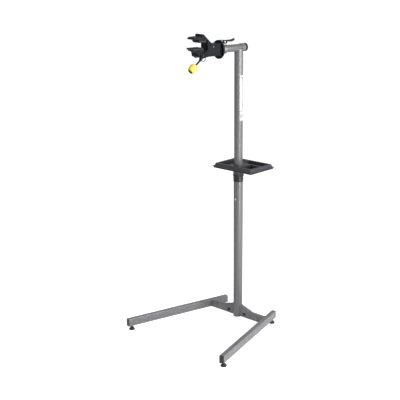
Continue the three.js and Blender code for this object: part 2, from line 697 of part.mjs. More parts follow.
const pinBore = new THREE.CylinderGeometry(RING_WIRE + 1, RING_WIRE + 1, 2 * THROUGH, ROUND_SMALL);
pinBore.translate(RING_X, 0, HINGE_Z);
add('hinge_pin', cut(
  join(
    crossPin(HINGE_PIN, HINGE_A, HINGE_Z, -HEAD_HALF - 2, RING_X + 3.5),
    crossPin(HINGE_HEAD, HINGE_A, HINGE_Z, -HEAD_HALF - 3, -HEAD_HALF - GAP),
  ),
  toSolid(pinBore),
), zinc, arm);

const ring = new THREE.TorusGeometry(RING_RADIUS, RING_WIRE, 8, 28);
ring.rotateY(Math.PI / 2);
ring.translate(RING_X, -HINGE_A, HINGE_Z - RING_RADIUS + 0.4);
add('pull_ring', toSolid(ring), darkZinc, arm);

add('cam_pin', crossPin(CAM_PIN, CAM_A, CAM_Z, -HEAD_HALF - 0.5, HEAD_HALF + 0.5), zinc, arm);

// Cylinder along the handle line between two distances from its start point.
function handleRod(radius, from, to, facets = ROUND, taper = radius) {
  const geometry = new THREE.CylinderGeometry(radius, taper, to - from, facets);
  geometry.translate(0, -(from + to) / 2, 0);
  geometry.rotateX(-ROD_ANGLE);
  geometry.translate(0, -ROD_A, ROD_Z);
  return toSolid(geometry);
}

add('cam_lever', cut(
  join(
    crossPin(CAM_RADIUS, CAM_A, CAM_Z, -CAM_HALF, CAM_HALF, ROUND),
    sideways(outline([
      [219.5, -24], [227, -41], [234, -46], [241, -39], [236.5, -21],
    ]), -6, 6),
    handleRod(6, 10, 24),
    handleRod(ROD_RADIUS, 12, KNOB_END - 3),
  ),
  camHole,
), blackPlastic, arm);

// Turned solid on the handle line, from a distance along it.
function onHandle(outlinePoints, start) {
  const points = outlinePoints.map(([radius, height]) => new THREE.Vector2(radius, height));
  const geometry = new THREE.LatheGeometry(points, ROUND);
  geometry.rotateX(Math.PI);
  geometry.translate(0, -start, 0);
  geometry.rotateX(-ROD_ANGLE);
  geometry.translate(0, -ROD_A, ROD_Z);
  return toSolid(geometry);
}

const knobLength = KNOB_END - KNOB_START;
const knobOutline = [
  [0, 0], [12, 0], [16, 3], [KNOB_RADIUS, 12], [KNOB_RADIUS, knobLength - 12], [17, knobLength - 4],
  [13, knobLength], [0, knobLength],
];
add('lever_knob', cut(
  onHandle(knobOutline, KNOB_START),
  handleRod(ROD_RADIUS + GAP, 0, KNOB_END - 2),
  handleRod(KNOB_CAP_RADIUS + 0.4, KNOB_END - 2, KNOB_END + 10),
), yellow, arm);

const knobCapOutline = [[0, 0], [KNOB_CAP_RADIUS, 0], [KNOB_CAP_RADIUS, 3], [7, 5], [0, 5]];
add('knob_cap', onHandle(knobCapOutline, KNOB_END - 1.6), blackPlastic, arm);

export default stand;
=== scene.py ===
"""Bicycle repair stand: fine surfaces, materials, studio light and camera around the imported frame.

Shapes are made in millimetres in a local frame (the base, a leg, the arm or the handle) and then
placed in metres in the stand's own frame.
"""

import json
import math

import bmesh
import bpy
from mathutils import Matrix, Vector


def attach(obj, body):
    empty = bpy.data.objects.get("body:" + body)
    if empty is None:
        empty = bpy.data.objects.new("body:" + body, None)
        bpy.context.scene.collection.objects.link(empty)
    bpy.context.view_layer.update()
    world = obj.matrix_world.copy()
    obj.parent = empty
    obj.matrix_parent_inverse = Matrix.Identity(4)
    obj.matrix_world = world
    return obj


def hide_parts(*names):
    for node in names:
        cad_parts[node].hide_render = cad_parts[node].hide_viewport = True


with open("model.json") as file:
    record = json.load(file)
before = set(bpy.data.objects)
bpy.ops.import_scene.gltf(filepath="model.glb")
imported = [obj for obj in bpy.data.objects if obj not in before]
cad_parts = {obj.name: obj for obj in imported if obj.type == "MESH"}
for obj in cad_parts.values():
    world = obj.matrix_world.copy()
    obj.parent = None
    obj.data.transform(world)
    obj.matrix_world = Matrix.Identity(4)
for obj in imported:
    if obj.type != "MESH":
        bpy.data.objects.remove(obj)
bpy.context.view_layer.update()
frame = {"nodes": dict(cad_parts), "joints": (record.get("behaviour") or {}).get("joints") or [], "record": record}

MM = 0.001
GAP = 0.3  # clearance between pieces that touch
UP = Vector((0, 0, 1))
joints = {joint["name"]: joint for joint in frame["joints"]}


# ---- local frames ----


def local_frame(origin, x_axis, y_axis):
    """Matrix that takes millimetres in a local frame to metres in the stand's frame."""
    axes = Matrix((x_axis, y_axis, x_axis.cross(y_axis))).transposed().to_4x4()
    return Matrix.Translation(origin) @ axes @ Matrix.Scale(MM, 4)


def span(node, local):
    """Lowest and highest corner of a CAD node in a local frame, in millimetres."""
    to_local = local.inverted()
    points = [to_local @ vertex.co for vertex in frame["nodes"][node].data.vertices]
    low = Vector([min(point[axis] for point in points) for axis in range(3)])
    high = Vector([max(point[axis] for point in points) for axis in range(3)])
    return low, high


column = Vector(joints["column_swivel"]["pos_m"])
column.z = 0
BASE = local_frame(column, Vector((1, 0, 0)), Vector((0, 1, 0)))

# Arm frame: x runs across the head, -y along the arm, z up from the arm's axis.
arm_forward = Vector(joints["head_rotation"]["axis"])
arm_height = joints["head_rotation"]["pos_m"][2]
ARM = local_frame(column + UP * arm_height, UP.cross(arm_forward), arm_forward * -1)

# Handle frame: z runs down the handle, the origin is the middle of the knob.
handle_down = Vector(joints["knob_spin"]["axis"])
across_head = Vector(joints["handle_swing"]["axis"])
HANDLE = local_frame(
    Vector(joints["knob_spin"]["pos_m"]), across_head, handle_down.cross(across_head)
)


def leg_frame(label):
    """Origin on the floor under the front foot of a leg, y towards its rear foot."""
    front = Vector(joints[f"front_{label}_foot_spin"]["pos_m"])
    rear = Vector(joints[f"rear_{label}_foot_spin"]["pos_m"])
    along = (rear - front).normalized()
    return local_frame(front, along.cross(UP), along), (rear - front).length / MM


def arm_point(place):
    """Distance along the arm and height above its axis of a point given in metres."""
    local = ARM.inverted() @ Vector(place)
    return -local.y, local.z


# ---- outlines ----


def upright(u, v, w):
    return Vector((u, v, w))


def along_y(u, v, w):
    return Vector((u, w, v))


def along_arm(u, v, w):
    return Vector((u, -w, v))


def side_on(u, v, w):
    """Outline in (distance along the arm, height), width across the head."""
    return Vector((w, -u, v))


def fillet(points, radius=0.0, steps=4):
    """Outline with rounded corners; a third number on a point is that corner's own radius."""
    result = []
    for i, corner in enumerate(points):
        here = Vector(corner[:2])
        reach = corner[2] if len(corner) > 2 else radius
        before = Vector(points[i - 1][:2]) - here
        after = Vector(points[(i + 1) % len(points)][:2]) - here
        room = 0.48 * min(before.length, after.length)
        cut = min(reach / max(math.tan(before.angle(after) / 2), 1e-4), room)
        if cut < 0.02:
            result.append(here)
            continue
        start = here + before.normalized() * cut
        end = here + after.normalized() * cut
        for k in range(steps + 1):
            t = k / steps
            result.append(start.lerp(here, t).lerp(here.lerp(end, t), t))
    return result


def arc(centre_u, centre_v, radius, start, end, steps=24):
    """Points of an arc, angles in degrees."""
    points = []
    for k in range(steps + 1):
        angle = math.radians(start + (end - start) * k / steps)
        points.append((centre_u + radius * math.cos(angle), centre_v + radius * math.sin(angle), 0))
    return points


def rounded_rect(u_low, u_high, v_low, v_high, corner, steps=6):
    centres = [
        (u_high - corner, v_low + corner, -90),
        (u_high - corner, v_high - corner, 0),
        (u_low + corner, v_high - corner, 90),
        (u_low + corner, v_low + corner, 180),
    ]
    points = []
    for u, v, start in centres:
        points += [Vector(p[:2]) for p in arc(u, v, corner, start, start + 90, steps)]
    return points


def anticlockwise(outline):
    doubled = sum(
        outline[i - 1].x * point.y - point.x * outline[i - 1].y for i, point in enumerate(outline)
    )
    return outline if doubled > 0 else outline[::-1]


def inset(outline, distance):
    """An anticlockwise outline moved inwards."""
    moved = []
    for i, point in enumerate(outline):
        into = (point - outline[i - 1]).normalized()
        out = (outline[(i + 1) % len(outline)] - point).normalized()
        inward = Vector((-into.y - out.y, into.x + out.x))
        moved.append(point + inward * (distance / max(1 + into.dot(out), 0.4)))
    return moved


# ---- solids ----


def solid(shell):
    """Object of a closed bmesh, in local millimetres."""
    bmesh.ops.recalc_face_normals(shell, faces=shell.faces)
    mesh = bpy.data.meshes.new("shape")
    shell.to_mesh(mesh)
    shell.free()
    shape = bpy.data.objects.new("shape", mesh)
    bpy.context.scene.collection.objects.link(shape)
    return shape


def add_skin(shell, rings, joined=False, caps=(True, True)):
    """Faces between rings with equal counts, and a flat cap on each open end."""
    rows = [[shell.verts.new(point) for point in ring] for ring in rings]
    pairs = list(zip(rows, rows[1:]))
    if joined:
        pairs.append((rows[-1], rows[0]))
    for low, high in pairs:
        for i in range(len(low)):
            j = (i + 1) % len(low)
            shell.faces.new((low[i], low[j], high[j], high[i]))
    if not joined and caps[0]:
        shell.faces.new(rows[0][::-1])
    if not joined and caps[1]:
        shell.faces.new(rows[-1])
    return rows


def skin(rings, joined=False):
    shell = bmesh.new()
    add_skin(shell, rings, joined)
    return solid(shell)


def quarter(edge):
    """(inset, rise) steps of a rounded rim."""
    if edge == 0:
        return [(0, 0)]
    turns = [math.pi / 2 * k / 4 for k in range(5)]
    return [(edge * (1 - math.sin(turn)), edge * (1 - math.cos(turn))) for turn in turns]


def prism(outline, low, high, place=upright, edge=0.5):
    """Prism of an outline, with rounded rims."""
    loop = anticlockwise(outline)
    levels = [(amount, low + rise) for amount, rise in quarter(edge)]
    levels += [(amount, high - rise) for amount, rise in reversed(quarter(edge))]
    rings = []
    for amount, height in levels:
        rings.append([place(point.x, point.y, height) for point in inset(loop, amount)])
    return skin(rings)


def turned(profile, place=upright, segments=96, joined=False, shape=None, radius=0.4):
    """Solid of revolution of a (radius, height) outline, or a tube where joined."""
    rings = []
    for point in fillet(profile, radius):
        if point.x < 1e-4:
            continue
        ring = []
        for k in range(segments):
            angle = math.tau * k / segments
            reach = shape(point.x, angle, point.y) if shape else point.x
            ring.append(place(reach * math.cos(angle), reach * math.sin(angle), point.y))
        rings.append(ring)
    return skin(rings, joined)


def rod(radius, low, high, place=upright, segments=64, edge=0.4):
    outline = [(0, low, 0), (radius, low), (radius, high), (0, high, 0)]
    return turned(outline, place, segments, radius=edge)


def tube(inner, outer, low, high, place=upright, edge=0.4):
    outline = [(inner, low), (outer, low), (outer, high), (inner, high)]
    return turned(outline, place, 128, joined=True, radius=edge)


def block(low, high):
    corners = [(low[0], low[1]), (high[0], low[1]), (high[0], high[1]), (low[0], high[1])]
    return prism([Vector(corner) for corner in corners], low[2], high[2], edge=0)


def shifted(place, u=0.0, v=0.0, w=0.0):
    """A place function moved sideways or along."""
    return lambda a, b, c: place(a + u, b + v, c + w)


def hexagon(across, angle):
    """Distance from the centre to a hexagon's edge in a direction."""
    return across / 2 / math.cos((angle % (math.pi / 3)) - math.pi / 6)


def hex_rings(across, low, high, place, bore=0.0, flange=0.0):
    """Rings of a hexagon head or nut, chamfered, on a round flange."""
    segments = 72
    crown = across / 2 * 0.94
    slope = math.tan(math.radians(28))
    flange_top = low + (1.3 if flange else 0.0)

    def ring(reach, height):
        points = []
        for k in range(segments):
            angle = math.tau * k / segments
            distance = reach(angle)
            rise = height(distance)
            points.append(place(distance * math.cos(angle), distance * math.sin(angle), rise))
        return points

    def corner(angle):
        return hexagon(across, angle)

    rings = []
    if flange:
        rings.append(ring(lambda angle: flange, lambda d: low))
        rings.append(ring(lambda angle: flange, lambda d: low + 0.6))
        rings.append(ring(lambda angle: flange - 0.4, lambda d: low + 0.9))
        rings.append(ring(corner, lambda d: flange_top))
    else:
        rings.append(ring(lambda angle: crown, lambda d: low))
        rings.append(ring(corner, lambda d: low + (d - crown) * slope))
    rings.append(ring(corner, lambda d: high - (d - crown) * slope))
    rings.append(ring(lambda angle: crown, lambda d: high))
    if bore:
        rings.append(ring(lambda angle: bore + 0.5, lambda d: high))
        rings.append(ring(lambda angle: bore, lambda d: high - 0.5))
        rings.append(ring(lambda angle: bore, lambda d: low))
    else:
        rings.append(ring(lambda angle: crown * 0.72, lambda d: high))
        rings.append(ring(lambda angle: crown * 0.68, lambda d: high - 0.35))
    return rings


def button_screw(radius, low, high, place, socket):
    """Domed screw head with a hexagon socket."""
    rise = high - low
    segments = 72
    rings = []
    for step in range(7):
        angle = math.radians(4 + 64 * step / 6)
        reach = radius * math.cos(angle) / math.cos(math.radians(4))
        height = low + rise * math.sin(angle) / math.sin(math.radians(68))
        rings.append([(reach, height)] * segments)
    floor = low + 0.35 * rise
    for height in (high, high - 0.3, floor):
        corners = [hexagon(socket, math.tau * k / segments) for k in range(segments)]
        rings.append([(corner, height) for corner in corners])
    placed = []
    for ring in [[(radius * 0.96, low)] * segments] + rings:
        points = []
        for k, (reach, height) in enumerate(ring):
            angle = math.tau * k / segments
            points.append(place(reach * math.cos(angle), reach * math.sin(angle), height))
        placed.append(points)
    return skin(placed)


# ---- working on solids ----


def settle(shape):
    """Replaces a mesh by the result of its modifiers."""
    graph = bpy.context.evaluated_depsgraph_get()
    mesh = bpy.data.meshes.new_from_object(shape.evaluated_get(graph))
    old = shape.data
    shape.modifiers.clear()
    shape.data = mesh
    bpy.data.meshes.remove(old)
    return shape


def combine(shape, others, operation):
    for other in others:
        step = shape.modifiers.new("combine", "BOOLEAN")
        step.operation = operation
        step.solver = "EXACT"
        step.object = other
    settle(shape)
    for other in others:
        mesh = other.data
        bpy.data.objects.remove(other)
        bpy.data.meshes.remove(mesh)
    return shape


def carve(shape, *cutters):
    return combine(shape, cutters, "DIFFERENCE")


def fuse(shape, *others):
    return combine(shape, others, "UNION")


def soften(shape, width):
    """Rounds the edges left by cuts."""
    step = shape.modifiers.new("soften", "BEVEL")
    step.width = width
    step.segments = 2
    step.limit_method = "ANGLE"
    step.angle_limit = math.radians(35)
    step.use_clamp_overlap = True
    return settle(shape)


def cast(shape, voxel, passes):
    """Runs edges and inner corners together, as in a casting."""
    step = shape.modifiers.new("remesh", "REMESH")
    step.mode = "VOXEL"
    step.voxel_size = voxel
    step = shape.modifiers.new("smooth", "SMOOTH")
    step.factor = 0.5
    step.iterations = passes
    step = shape.modifiers.new("reduce", "DECIMATE")
    step.ratio = 0.5
    return settle(shape)


def resample(path, spacing, closed):
    """Points at an even spacing along a path of straight stretches."""
    stops = [Vector(point) for point in path]
    if closed:
        stops.append(stops[0])
    lengths = [(b - a).length for a, b in zip(stops, stops[1:])]
    count = max(int(sum(lengths) / spacing), 3)
    step = sum(lengths) / count
    points = []
    stretch = 0
    passed = 0.0
    for k in range(count if closed else count + 1):
        goal = k * step
        while stretch < len(lengths) - 1 and passed + lengths[stretch] < goal:
            passed += lengths[stretch]
            stretch += 1
        t = (goal - passed) / lengths[stretch]
        points.append(stops[stretch].lerp(stops[stretch + 1], t))
    return points, step


def sweep(points, reach, sides, closed=False):
    """Round bar along points; reach(index) is its radius there."""
    count = len(points)
    rings = []
    side = None
    before = None
    for k, point in enumerate(points):
        ahead = points[(k + 1) % count] if closed or k < count - 1 else point
        behind = points[k - 1] if closed or k > 0 else point
        along = (ahead - behind).normalized()
        if side is None:
            side = along.orthogonal().normalized()
        else:
            side = (before.rotation_difference(along) @ side).normalized()
        before = along
        other = along.cross(side)
        ring = []
        for j in range(sides):
            angle = math.tau * j / sides
            ring.append(point + (side * math.cos(angle) + other * math.sin(angle)) * reach(k))
        rings.append(ring)
    return skin(rings, closed)


def weld(path, radius=1.7, closed=False):
    """Weld bead with overlapping ripples."""
    pitch = 2.4
    points, step = resample(path, 0.6, closed)
    length = step * len(points)

    def reach(k):
        ripple = 0.78 + 0.22 * abs(math.sin(math.pi * k * step / pitch))
        end = 1.0 if closed else min(1.0, (min(k * step, length - k * step) + 0.4) / radius)
        return radius * ripple * math.sqrt(max(end, 0.05))

    return sweep(points, reach, 12, closed)


# ---- materials ----


class Look:
    """A Principled material whose colour, gloss and relief vary over the surface."""

    def __init__(self, name, colour, roughness, metallic=0.0, coat=0.0, coat_roughness=0.15):
        self.material = bpy.data.materials.new(name)
        self.material.use_nodes = True
        self.tree = self.material.node_tree
        self.shader = self.tree.nodes["Principled BSDF"]
        self.shader.inputs["Base Color"].default_value = (*colour, 1)
        self.shader.inputs["Roughness"].default_value = roughness
        self.shader.inputs["Metallic"].default_value = metallic
        self.shader.inputs["Coat Weight"].default_value = coat
        self.shader.inputs["Coat Roughness"].default_value = coat_roughness
        self.colour = colour
        self.place = self.tree.nodes.new("ShaderNodeTexCoord").outputs["Object"]

    def link(self, out, into):
        self.tree.links.new(out, into)

    def noise(self, scale, detail=3.0, stretch=(1, 1, 1)):
        """Noise with cells of about 1/scale metres."""
        mapping = self.tree.nodes.new("ShaderNodeMapping")
        mapping.inputs["Scale"].default_value = stretch
        self.link(self.place, mapping.inputs["Vector"])
        texture = self.tree.nodes.new("ShaderNodeTexNoise")
        texture.inputs["Scale"].default_value = scale
        texture.inputs["Detail"].default_value = detail
        self.link(mapping.outputs["Vector"], texture.inputs["Vector"])
        return texture.outputs["Fac"]

    def cells(self, scale):
        texture = self.tree.nodes.new("ShaderNodeTexVoronoi")
        texture.inputs["Scale"].default_value = scale
        self.link(self.place, texture.inputs["Vector"])
        return texture.outputs["Distance"]

    def openness(self, reach):
        """White where the surface is open, dark in corners and hollows within a reach in metres; used as a mask
        for painted shade.
        """
        node = self.tree.nodes.new("ShaderNodeAmbientOcclusion")
        node.inputs["Distance"].default_value = reach
        return node.outputs["AO"]

    def edges(self):
        """White on outer edges and dark in hollows."""
        return self.tree.nodes.new("ShaderNodeNewGeometry").outputs["Pointiness"]

    def ranged(self, value, low, high, out_low=0.0, out_high=1.0):
        node = self.tree.nodes.new("ShaderNodeMapRange")
        node.inputs["From Min"].default_value = low
        node.inputs["From Max"].default_value = high
        node.inputs["To Min"].default_value = out_low
        node.inputs["To Max"].default_value = out_high
        self.link(value, node.inputs["Value"])
        return node.outputs["Result"]

    def product(self, one, other):
        node = self.tree.nodes.new("ShaderNodeMath")
        node.operation = "MULTIPLY"
        self.link(one, node.inputs[0])
        self.link(other, node.inputs[1])
        return node.outputs["Value"]

    def tint(self, mask, colour):
        """Blends another colour in where the mask is white."""
        mix = self.tree.nodes.new("ShaderNodeMix")
        mix.data_type = "RGBA"
        base = self.shader.inputs["Base Color"]
        if base.links:
            self.link(base.links[0].from_socket, mix.inputs["A"])
        else:
            mix.inputs[6].default_value = (*self.colour, 1)
        mix.inputs[7].default_value = (*colour, 1)
        self.link(mask, mix.inputs[0])
        self.link(mix.outputs[2], base)

    def mottle(self, scale, detail, low, high, amount, colour):
        """Blends a colour in by up to an amount, as the noise goes from low to high."""
        self.tint(self.ranged(self.noise(scale, detail), low, high, 0, amount), colour)

    def gloss(self, value, low, high):
        """Roughness between two values as the pattern goes from 0.3 to 0.7."""
        self.link(self.ranged(value, 0.3, 0.7, low, high), self.shader.inputs["Roughness"])

    def relief(self, height, depth, strength=1.0):
        """Bump of a depth in metres, on top of any bump already there."""
        bump = self.tree.nodes.new("ShaderNodeBump")
        bump.inputs["Distance"].default_value = depth
        bump.inputs["Strength"].default_value = strength
        normal = self.shader.inputs["Normal"]
        if normal.links:
            self.link(normal.links[0].from_socket, bump.inputs["Normal"])
        self.link(height, bump.inputs["Height"])
        self.link(bump.outputs["Normal"], normal)


def shade(colour, factor):
    return tuple(part * factor for part in colour)


def frame_paint():
    """Grey powder coat: orange peel, fine flake, a little rubbing on the edges."""
    grey = (0.122, 0.121, 0.129)
    look = Look("frame_paint", grey, 0.34, metallic=0.1, coat=0.4, coat_roughness=0.12)
    look.mottle(9, 4, 0.35, 0.75, 0.5, shade(grey, 0.86))
    look.mottle(4200, 1, 0.62, 0.72, 0.3, shade(grey, 1.8))
    scuff = look.product(
        look.ranged(look.edges(), 0.53, 0.6), look.ranged(look.noise(140, 5), 0.5, 0.62, 0, 0.55)
    )
    look.tint(scuff, (0.36, 0.36, 0.37))
    look.gloss(look.noise(60, 5), 0.27, 0.42)
    look.relief(look.noise(850, 2), 0.00006, 0.35)
    look.relief(look.noise(180, 2), 0.0001, 0.12)
    return look.material


def casting_paint():
    """Black paint over a sand-textured die casting, with pale edges that are partly wear and partly painted
    highlight.
    """
    black = (0.006, 0.007, 0.009)
    look = Look("head_alloy", black, 0.4, coat=0.02)
    look.shader.inputs["Specular IOR Level"].default_value = 0.1
    look.mottle(35, 4, 0.4, 0.7, 0.6, shade(black, 1.5))
    # pale edges: partly wear through the paint, partly a painted highlight standing in for glints along the edges
    edge_wear_and_glint = look.product(
        look.ranged(look.edges(), 0.53, 0.62), look.ranged(look.noise(220, 5), 0.48, 0.62, 0, 0.6)
    )
    look.tint(edge_wear_and_glint, (0.16, 0.165, 0.17))
    look.gloss(look.noise(120, 5), 0.28, 0.46)
    look.relief(look.noise(620, 4), 0.00014, 0.5)
    look.relief(look.noise(90, 2), 0.0003, 0.12)
    return look.material


def collar_alloy():
    """Dull cast and tumbled aluminium."""
    look = Look("collar_alloy", (0.24, 0.24, 0.25), 0.48, metallic=1.0)
    look.mottle(70, 5, 0.4, 0.7, 0.5, (0.19, 0.19, 0.2))
    look.gloss(look.noise(160, 4), 0.4, 0.56)
    look.relief(look.noise(900, 3), 0.00005, 0.4)
    look.relief(look.noise(320, 3, (1, 12, 1)), 0.00004, 0.3)
    return look.material


def zinc_steel():
    """Zinc plate with a faint yellow and blue cast."""
    look = Look("zinc_steel", (0.55, 0.55, 0.56), 0.3, metallic=1.0)
    look.mottle(260, 3, 0.45, 0.7, 0.6, (0.5, 0.47, 0.4))
    look.mottle(420, 3, 0.5, 0.75, 0.5, (0.42, 0.45, 0.52))
    look.gloss(look.noise(500, 4), 0.22, 0.4)
    look.relief(look.noise(1500, 2), 0.00003, 0.4)
    return look.material


def black_zinc(name, level):
    """Black zinc, thin on the corners."""
    grey = (level, level, level)
    look = Look(name, (level, level, level * 1.1), 0.36, metallic=0.9)
    look.tint(look.ranged(look.edges(), 0.53, 0.62, 0, 0.7), shade(grey, 4))
    look.mottle(300, 4, 0.5, 0.75, 0.5, shade(grey, 1.8))
    look.gloss(look.noise(420, 4), 0.28, 0.5)
    look.relief(look.noise(1300, 2), 0.00003, 0.4)
    return look.material


def black_nylon(name, level, gloss):
    """Moulded black nylon with a fine spark-eroded grain."""
    black = (level, level, level * 1.1)
    look = Look(name, black, 0.34, coat=gloss, coat_roughness=0.12)
    look.mottle(45, 4, 0.45, 0.75, 0.6, shade(black, 1.7))
    look.gloss(look.noise(300, 4), 0.26, 0.42)
    look.relief(look.noise(2600, 2), 0.00004, 0.6)
    return look.material


def tray_plastic():
    """Dark grey polypropylene with a pebbled grain, paler where tools have rubbed, with painted shade near black
    in its pockets and corners.
    """
    grey = (0.045, 0.045, 0.052)
    look = Look("tray_plastic", grey, 0.36, coat=0.06, coat_roughness=0.2)
    look.shader.inputs["Specular IOR Level"].default_value = 0.3
    look.mottle(22, 5, 0.45, 0.75, 0.6, shade(grey, 1.5))
    rubbed = look.ranged(look.noise(70, 6, (1, 9, 1)), 0.6, 0.72, 0, 0.35)
    look.tint(rubbed, shade(grey, 2.4))
    # painted shade: near black in the pockets, corners and other hollows, from ambient occlusion
    look.tint(look.ranged(look.openness(0.03), 0.45, 0.9, 1, 0), shade(grey, 0.08))
    look.gloss(look.noise(180, 4), 0.32, 0.5)
    look.relief(look.cells(1100), 0.0001, 0.4)
    return look.material


def rubber(name, colour, dust):
    look = Look(name, colour, 0.7)
    look.mottle(60, 5, 0.5, 0.8, dust, (0.1, 0.098, 0.092))
    look.gloss(look.noise(240, 4), 0.6, 0.85)
    look.relief(look.noise(1700, 3), 0.00008, 0.6)
    return look.material


def knob_yellow():
    """Glossy moulded yellow plastic."""
    look = Look("knob_yellow", (0.86, 0.7, 0.07), 0.3, coat=0.2)
    look.shader.inputs["Subsurface Weight"].default_value = 0.08
    look.shader.inputs["Subsurface Scale"].default_value = 0.002
    look.mottle(40, 4, 0.4, 0.75, 0.5, (0.8, 0.6, 0.04))
    look.gloss(look.noise(200, 4), 0.24, 0.4)
    look.relief(look.noise(1400, 2), 0.00005, 0.5)
    return look.material


def vinyl(name, level):
    """Decal film, slightly yellowed."""
    look = Look(name, (level, level, level * 0.98), 0.3, coat=0.3)
    aged = shade((level, level, level * 0.95), 0.88)
    look.mottle(120, 4, 0.5, 0.8, 0.5, aged)
    look.gloss(look.noise(260, 3), 0.24, 0.4)
    look.relief(look.noise(500, 2), 0.00003, 0.2)
    return look.material


LOOKS = {
    "frame_paint": frame_paint(),
    "foot_rubber": rubber("foot_rubber", (0.018, 0.018, 0.018), 0.5),
    "zinc_steel": zinc_steel(),
    "dark_bolts": black_zinc("dark_bolts", 0.05),
    "black_plastic": black_nylon("black_plastic", 0.009, 0.2),
    "tray_plastic": tray_plastic(),
    "collar_alloy": collar_alloy(),
    "head_alloy": casting_paint(),
    "pad_rubber": rubber("pad_rubber", (0.016, 0.016, 0.017), 0.25),
    "knob_yellow": knob_yellow(),
}
LEVER_BLACK = black_nylon("lever_black", 0.005, 0.0)
LEVER_BLACK.node_tree.nodes["Principled BSDF"].inputs["Specular IOR Level"].default_value = 0.2
RING_BLACK = black_zinc("ring_black", 0.008)


record = frame["record"]
SLOT_OF = {row["node"]: row["material_slot"] for row in record["subparts"]}
BODY_OF = {
    node: body for body, nodes in record["behaviour"]["bodies"].items() for node in nodes
}


def publish(shape, name, local, node=None, slot=None, body=None, look=None, crease=38):
    """Names a finished shape, places it, gives it its material and hangs it on its body.

    A shape that stands for a CAD node takes that node's body, and its slot unless one is given.
    """
    if node:
        slot = slot or SLOT_OF[node]
        body = BODY_OF[node]
    shape.name = name
    shape.data.name = name
    shape.data.transform(local)
    shape.data.materials.clear()
    shape.data.materials.append(look or LOOKS[slot])
    shape.data.shade_smooth()
    shape.data.set_sharp_from_angle(angle=math.radians(crease))
    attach(shape, body)
    if node:
        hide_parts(node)


# ---- legs, end caps and feet ----

LEG_CORNER = 3
LEG_WALL = 1.8
LID = 3  # end cap outside the tube
STUD_RADIUS = 4
STUD_PITCH = 1.25
NUT_ACROSS = 13


def section_rings(low, high, steps, place):
    """Rings of the leg's rounded section; each step is (inset, distance)."""
    rings = []
    for amount, distance in steps:
        corner = max(LEG_CORNER - 0.6 * amount, 0.6)
        outline = rounded_rect(
            low.x + amount, high.x - amount, low.z + amount, high.z - amount, corner, 8
        )
        rings.append([place(point.x, point.y, distance) for point in outline])
    return rings


def make_leg(label, local, spacing):
    low, high = span(f"{label}_leg", local)
    steps = [
        (LEG_WALL, low.y), (0.3, low.y), (0, low.y + 0.3),
        (0, high.y - 0.3), (0.3, high.y), (LEG_WALL, high.y),
    ]
    leg = skin(section_rings(low, high, steps, along_y), joined=True)
    holes = [
        rod(STUD_RADIUS + GAP, low.z - 5, low.z + 5, shifted(upright, v=y)) for y in (0, spacing)
    ]
    publish(carve(leg, *holes), f"{label}_leg_tube", local, f"{label}_leg")
    return low, high


def make_cap(end, label, local, leg_low, leg_high):
    node = f"{end}_{label}_cap"
    low, high = span(node, local)
    outer, inner, outward = (low.y, high.y, -1) if end == "front" else (high.y, low.y, 1)
    shoulder = outer - outward * LID
    plug = LEG_WALL + GAP
    steps = [(plug + 1, inner), (plug, inner + outward), (plug, shoulder), (0, shoulder)]
    steps += [(amount, outer - outward * rise) for amount, rise in reversed(quarter(1.4))]
    steps += [(2.6, outer), (3.2, outer - outward * 0.6), (6, outer - outward * 0.6)]
    rings = section_rings(leg_low, leg_high, steps, along_y)
    publish(skin(rings), f"{node}_moulding", local, node)


def make_foot(end, label, local, y):
    body = f"{end}_{label}_foot"
    place = shifted(upright, v=y)
    low, high = span(f"{body}_pad", local)
    radius = high.x
    top = high.z

    def treads(reach, angle, height):
        depth = 0.5 if 1.2 < height < 5.2 and reach > radius - 1.2 else 0.0
        return reach - depth * (0.5 + 0.5 * math.cos(30 * angle))

    bore = STUD_RADIUS + GAP
    pad = turned(
        [
            (0, 0.8, 0), (radius - 4, 0.8), (radius - 3.6, 0), (radius - 1, 0, 0.8),
            (radius, 1.5), (radius, 5, 1.2), (radius - 4.6, top - 1.4, 1.5), (radius - 5, top),
            (bore + 0.4, top), (bore, top - 0.6, 0), (bore, 4, 0), (0, 4, 0),
        ],
        place, 120, shape=treads,
    )
    publish(pad, f"{body}_rubber", local, f"{body}_pad")

    low, high = span(f"{body}_stud", local)
    turns = int((LEG_BOTTOM + 2 - low.z) / STUD_PITCH)
    thread_top = low.z + turns * STUD_PITCH

    def thread(reach, angle, height):
        if height > thread_top or reach < STUD_RADIUS - 0.6:
            return reach
        phase = (angle / math.tau + height / STUD_PITCH) % 1
        return reach - 0.55 * abs(2 * phase - 1)

    profile = [(0, low.z, 0), (STUD_RADIUS - 0.7, low.z, 0)]
    levels = turns * 8
    profile += [(STUD_RADIUS, low.z + 0.2 + k * STUD_PITCH / 8, 0) for k in range(levels)]
    profile += [(STUD_RADIUS - 0.3, thread_top, 0), (STUD_RADIUS - 0.3, high.z - 0.6, 0)]
    profile += [(STUD_RADIUS - 0.9, high.z, 0), (0, high.z, 0)]
    stud = turned(profile, place, 32, shape=thread)
    publish(stud, f"{body}_threaded_stud", local, f"{body}_stud", slot="dark_bolts")

    nut_low = top + 3
    nut = skin(hex_rings(NUT_ACROSS, nut_low, nut_low + 6, place, bore=STUD_RADIUS + 0.05), True)
    publish(nut, f"{body}_nut", local, slot="dark_bolts", body=body)


LEG_BOTTOM = span("left_leg", BASE)[0].z
for label in ("left", "right"):
    leg_local, foot_spacing = leg_frame(label)
    leg_low, leg_high = make_leg(label, leg_local, foot_spacing)
    for end, foot_y in (("front", 0), ("rear", foot_spacing)):
        make_cap(end, label, leg_local, leg_low, leg_high)
        make_foot(end, label, leg_local, foot_y)


# ---- cross member: stubs, folded brackets and bolts ----

LEG_HALF = span("left_leg", leg_frame("left")[0])[1].x
WING_WALL = 2
BOLT_HOLE = STUD_RADIUS + GAP
COLUMN_RADIUS = span("lower_column", BASE)[1].x


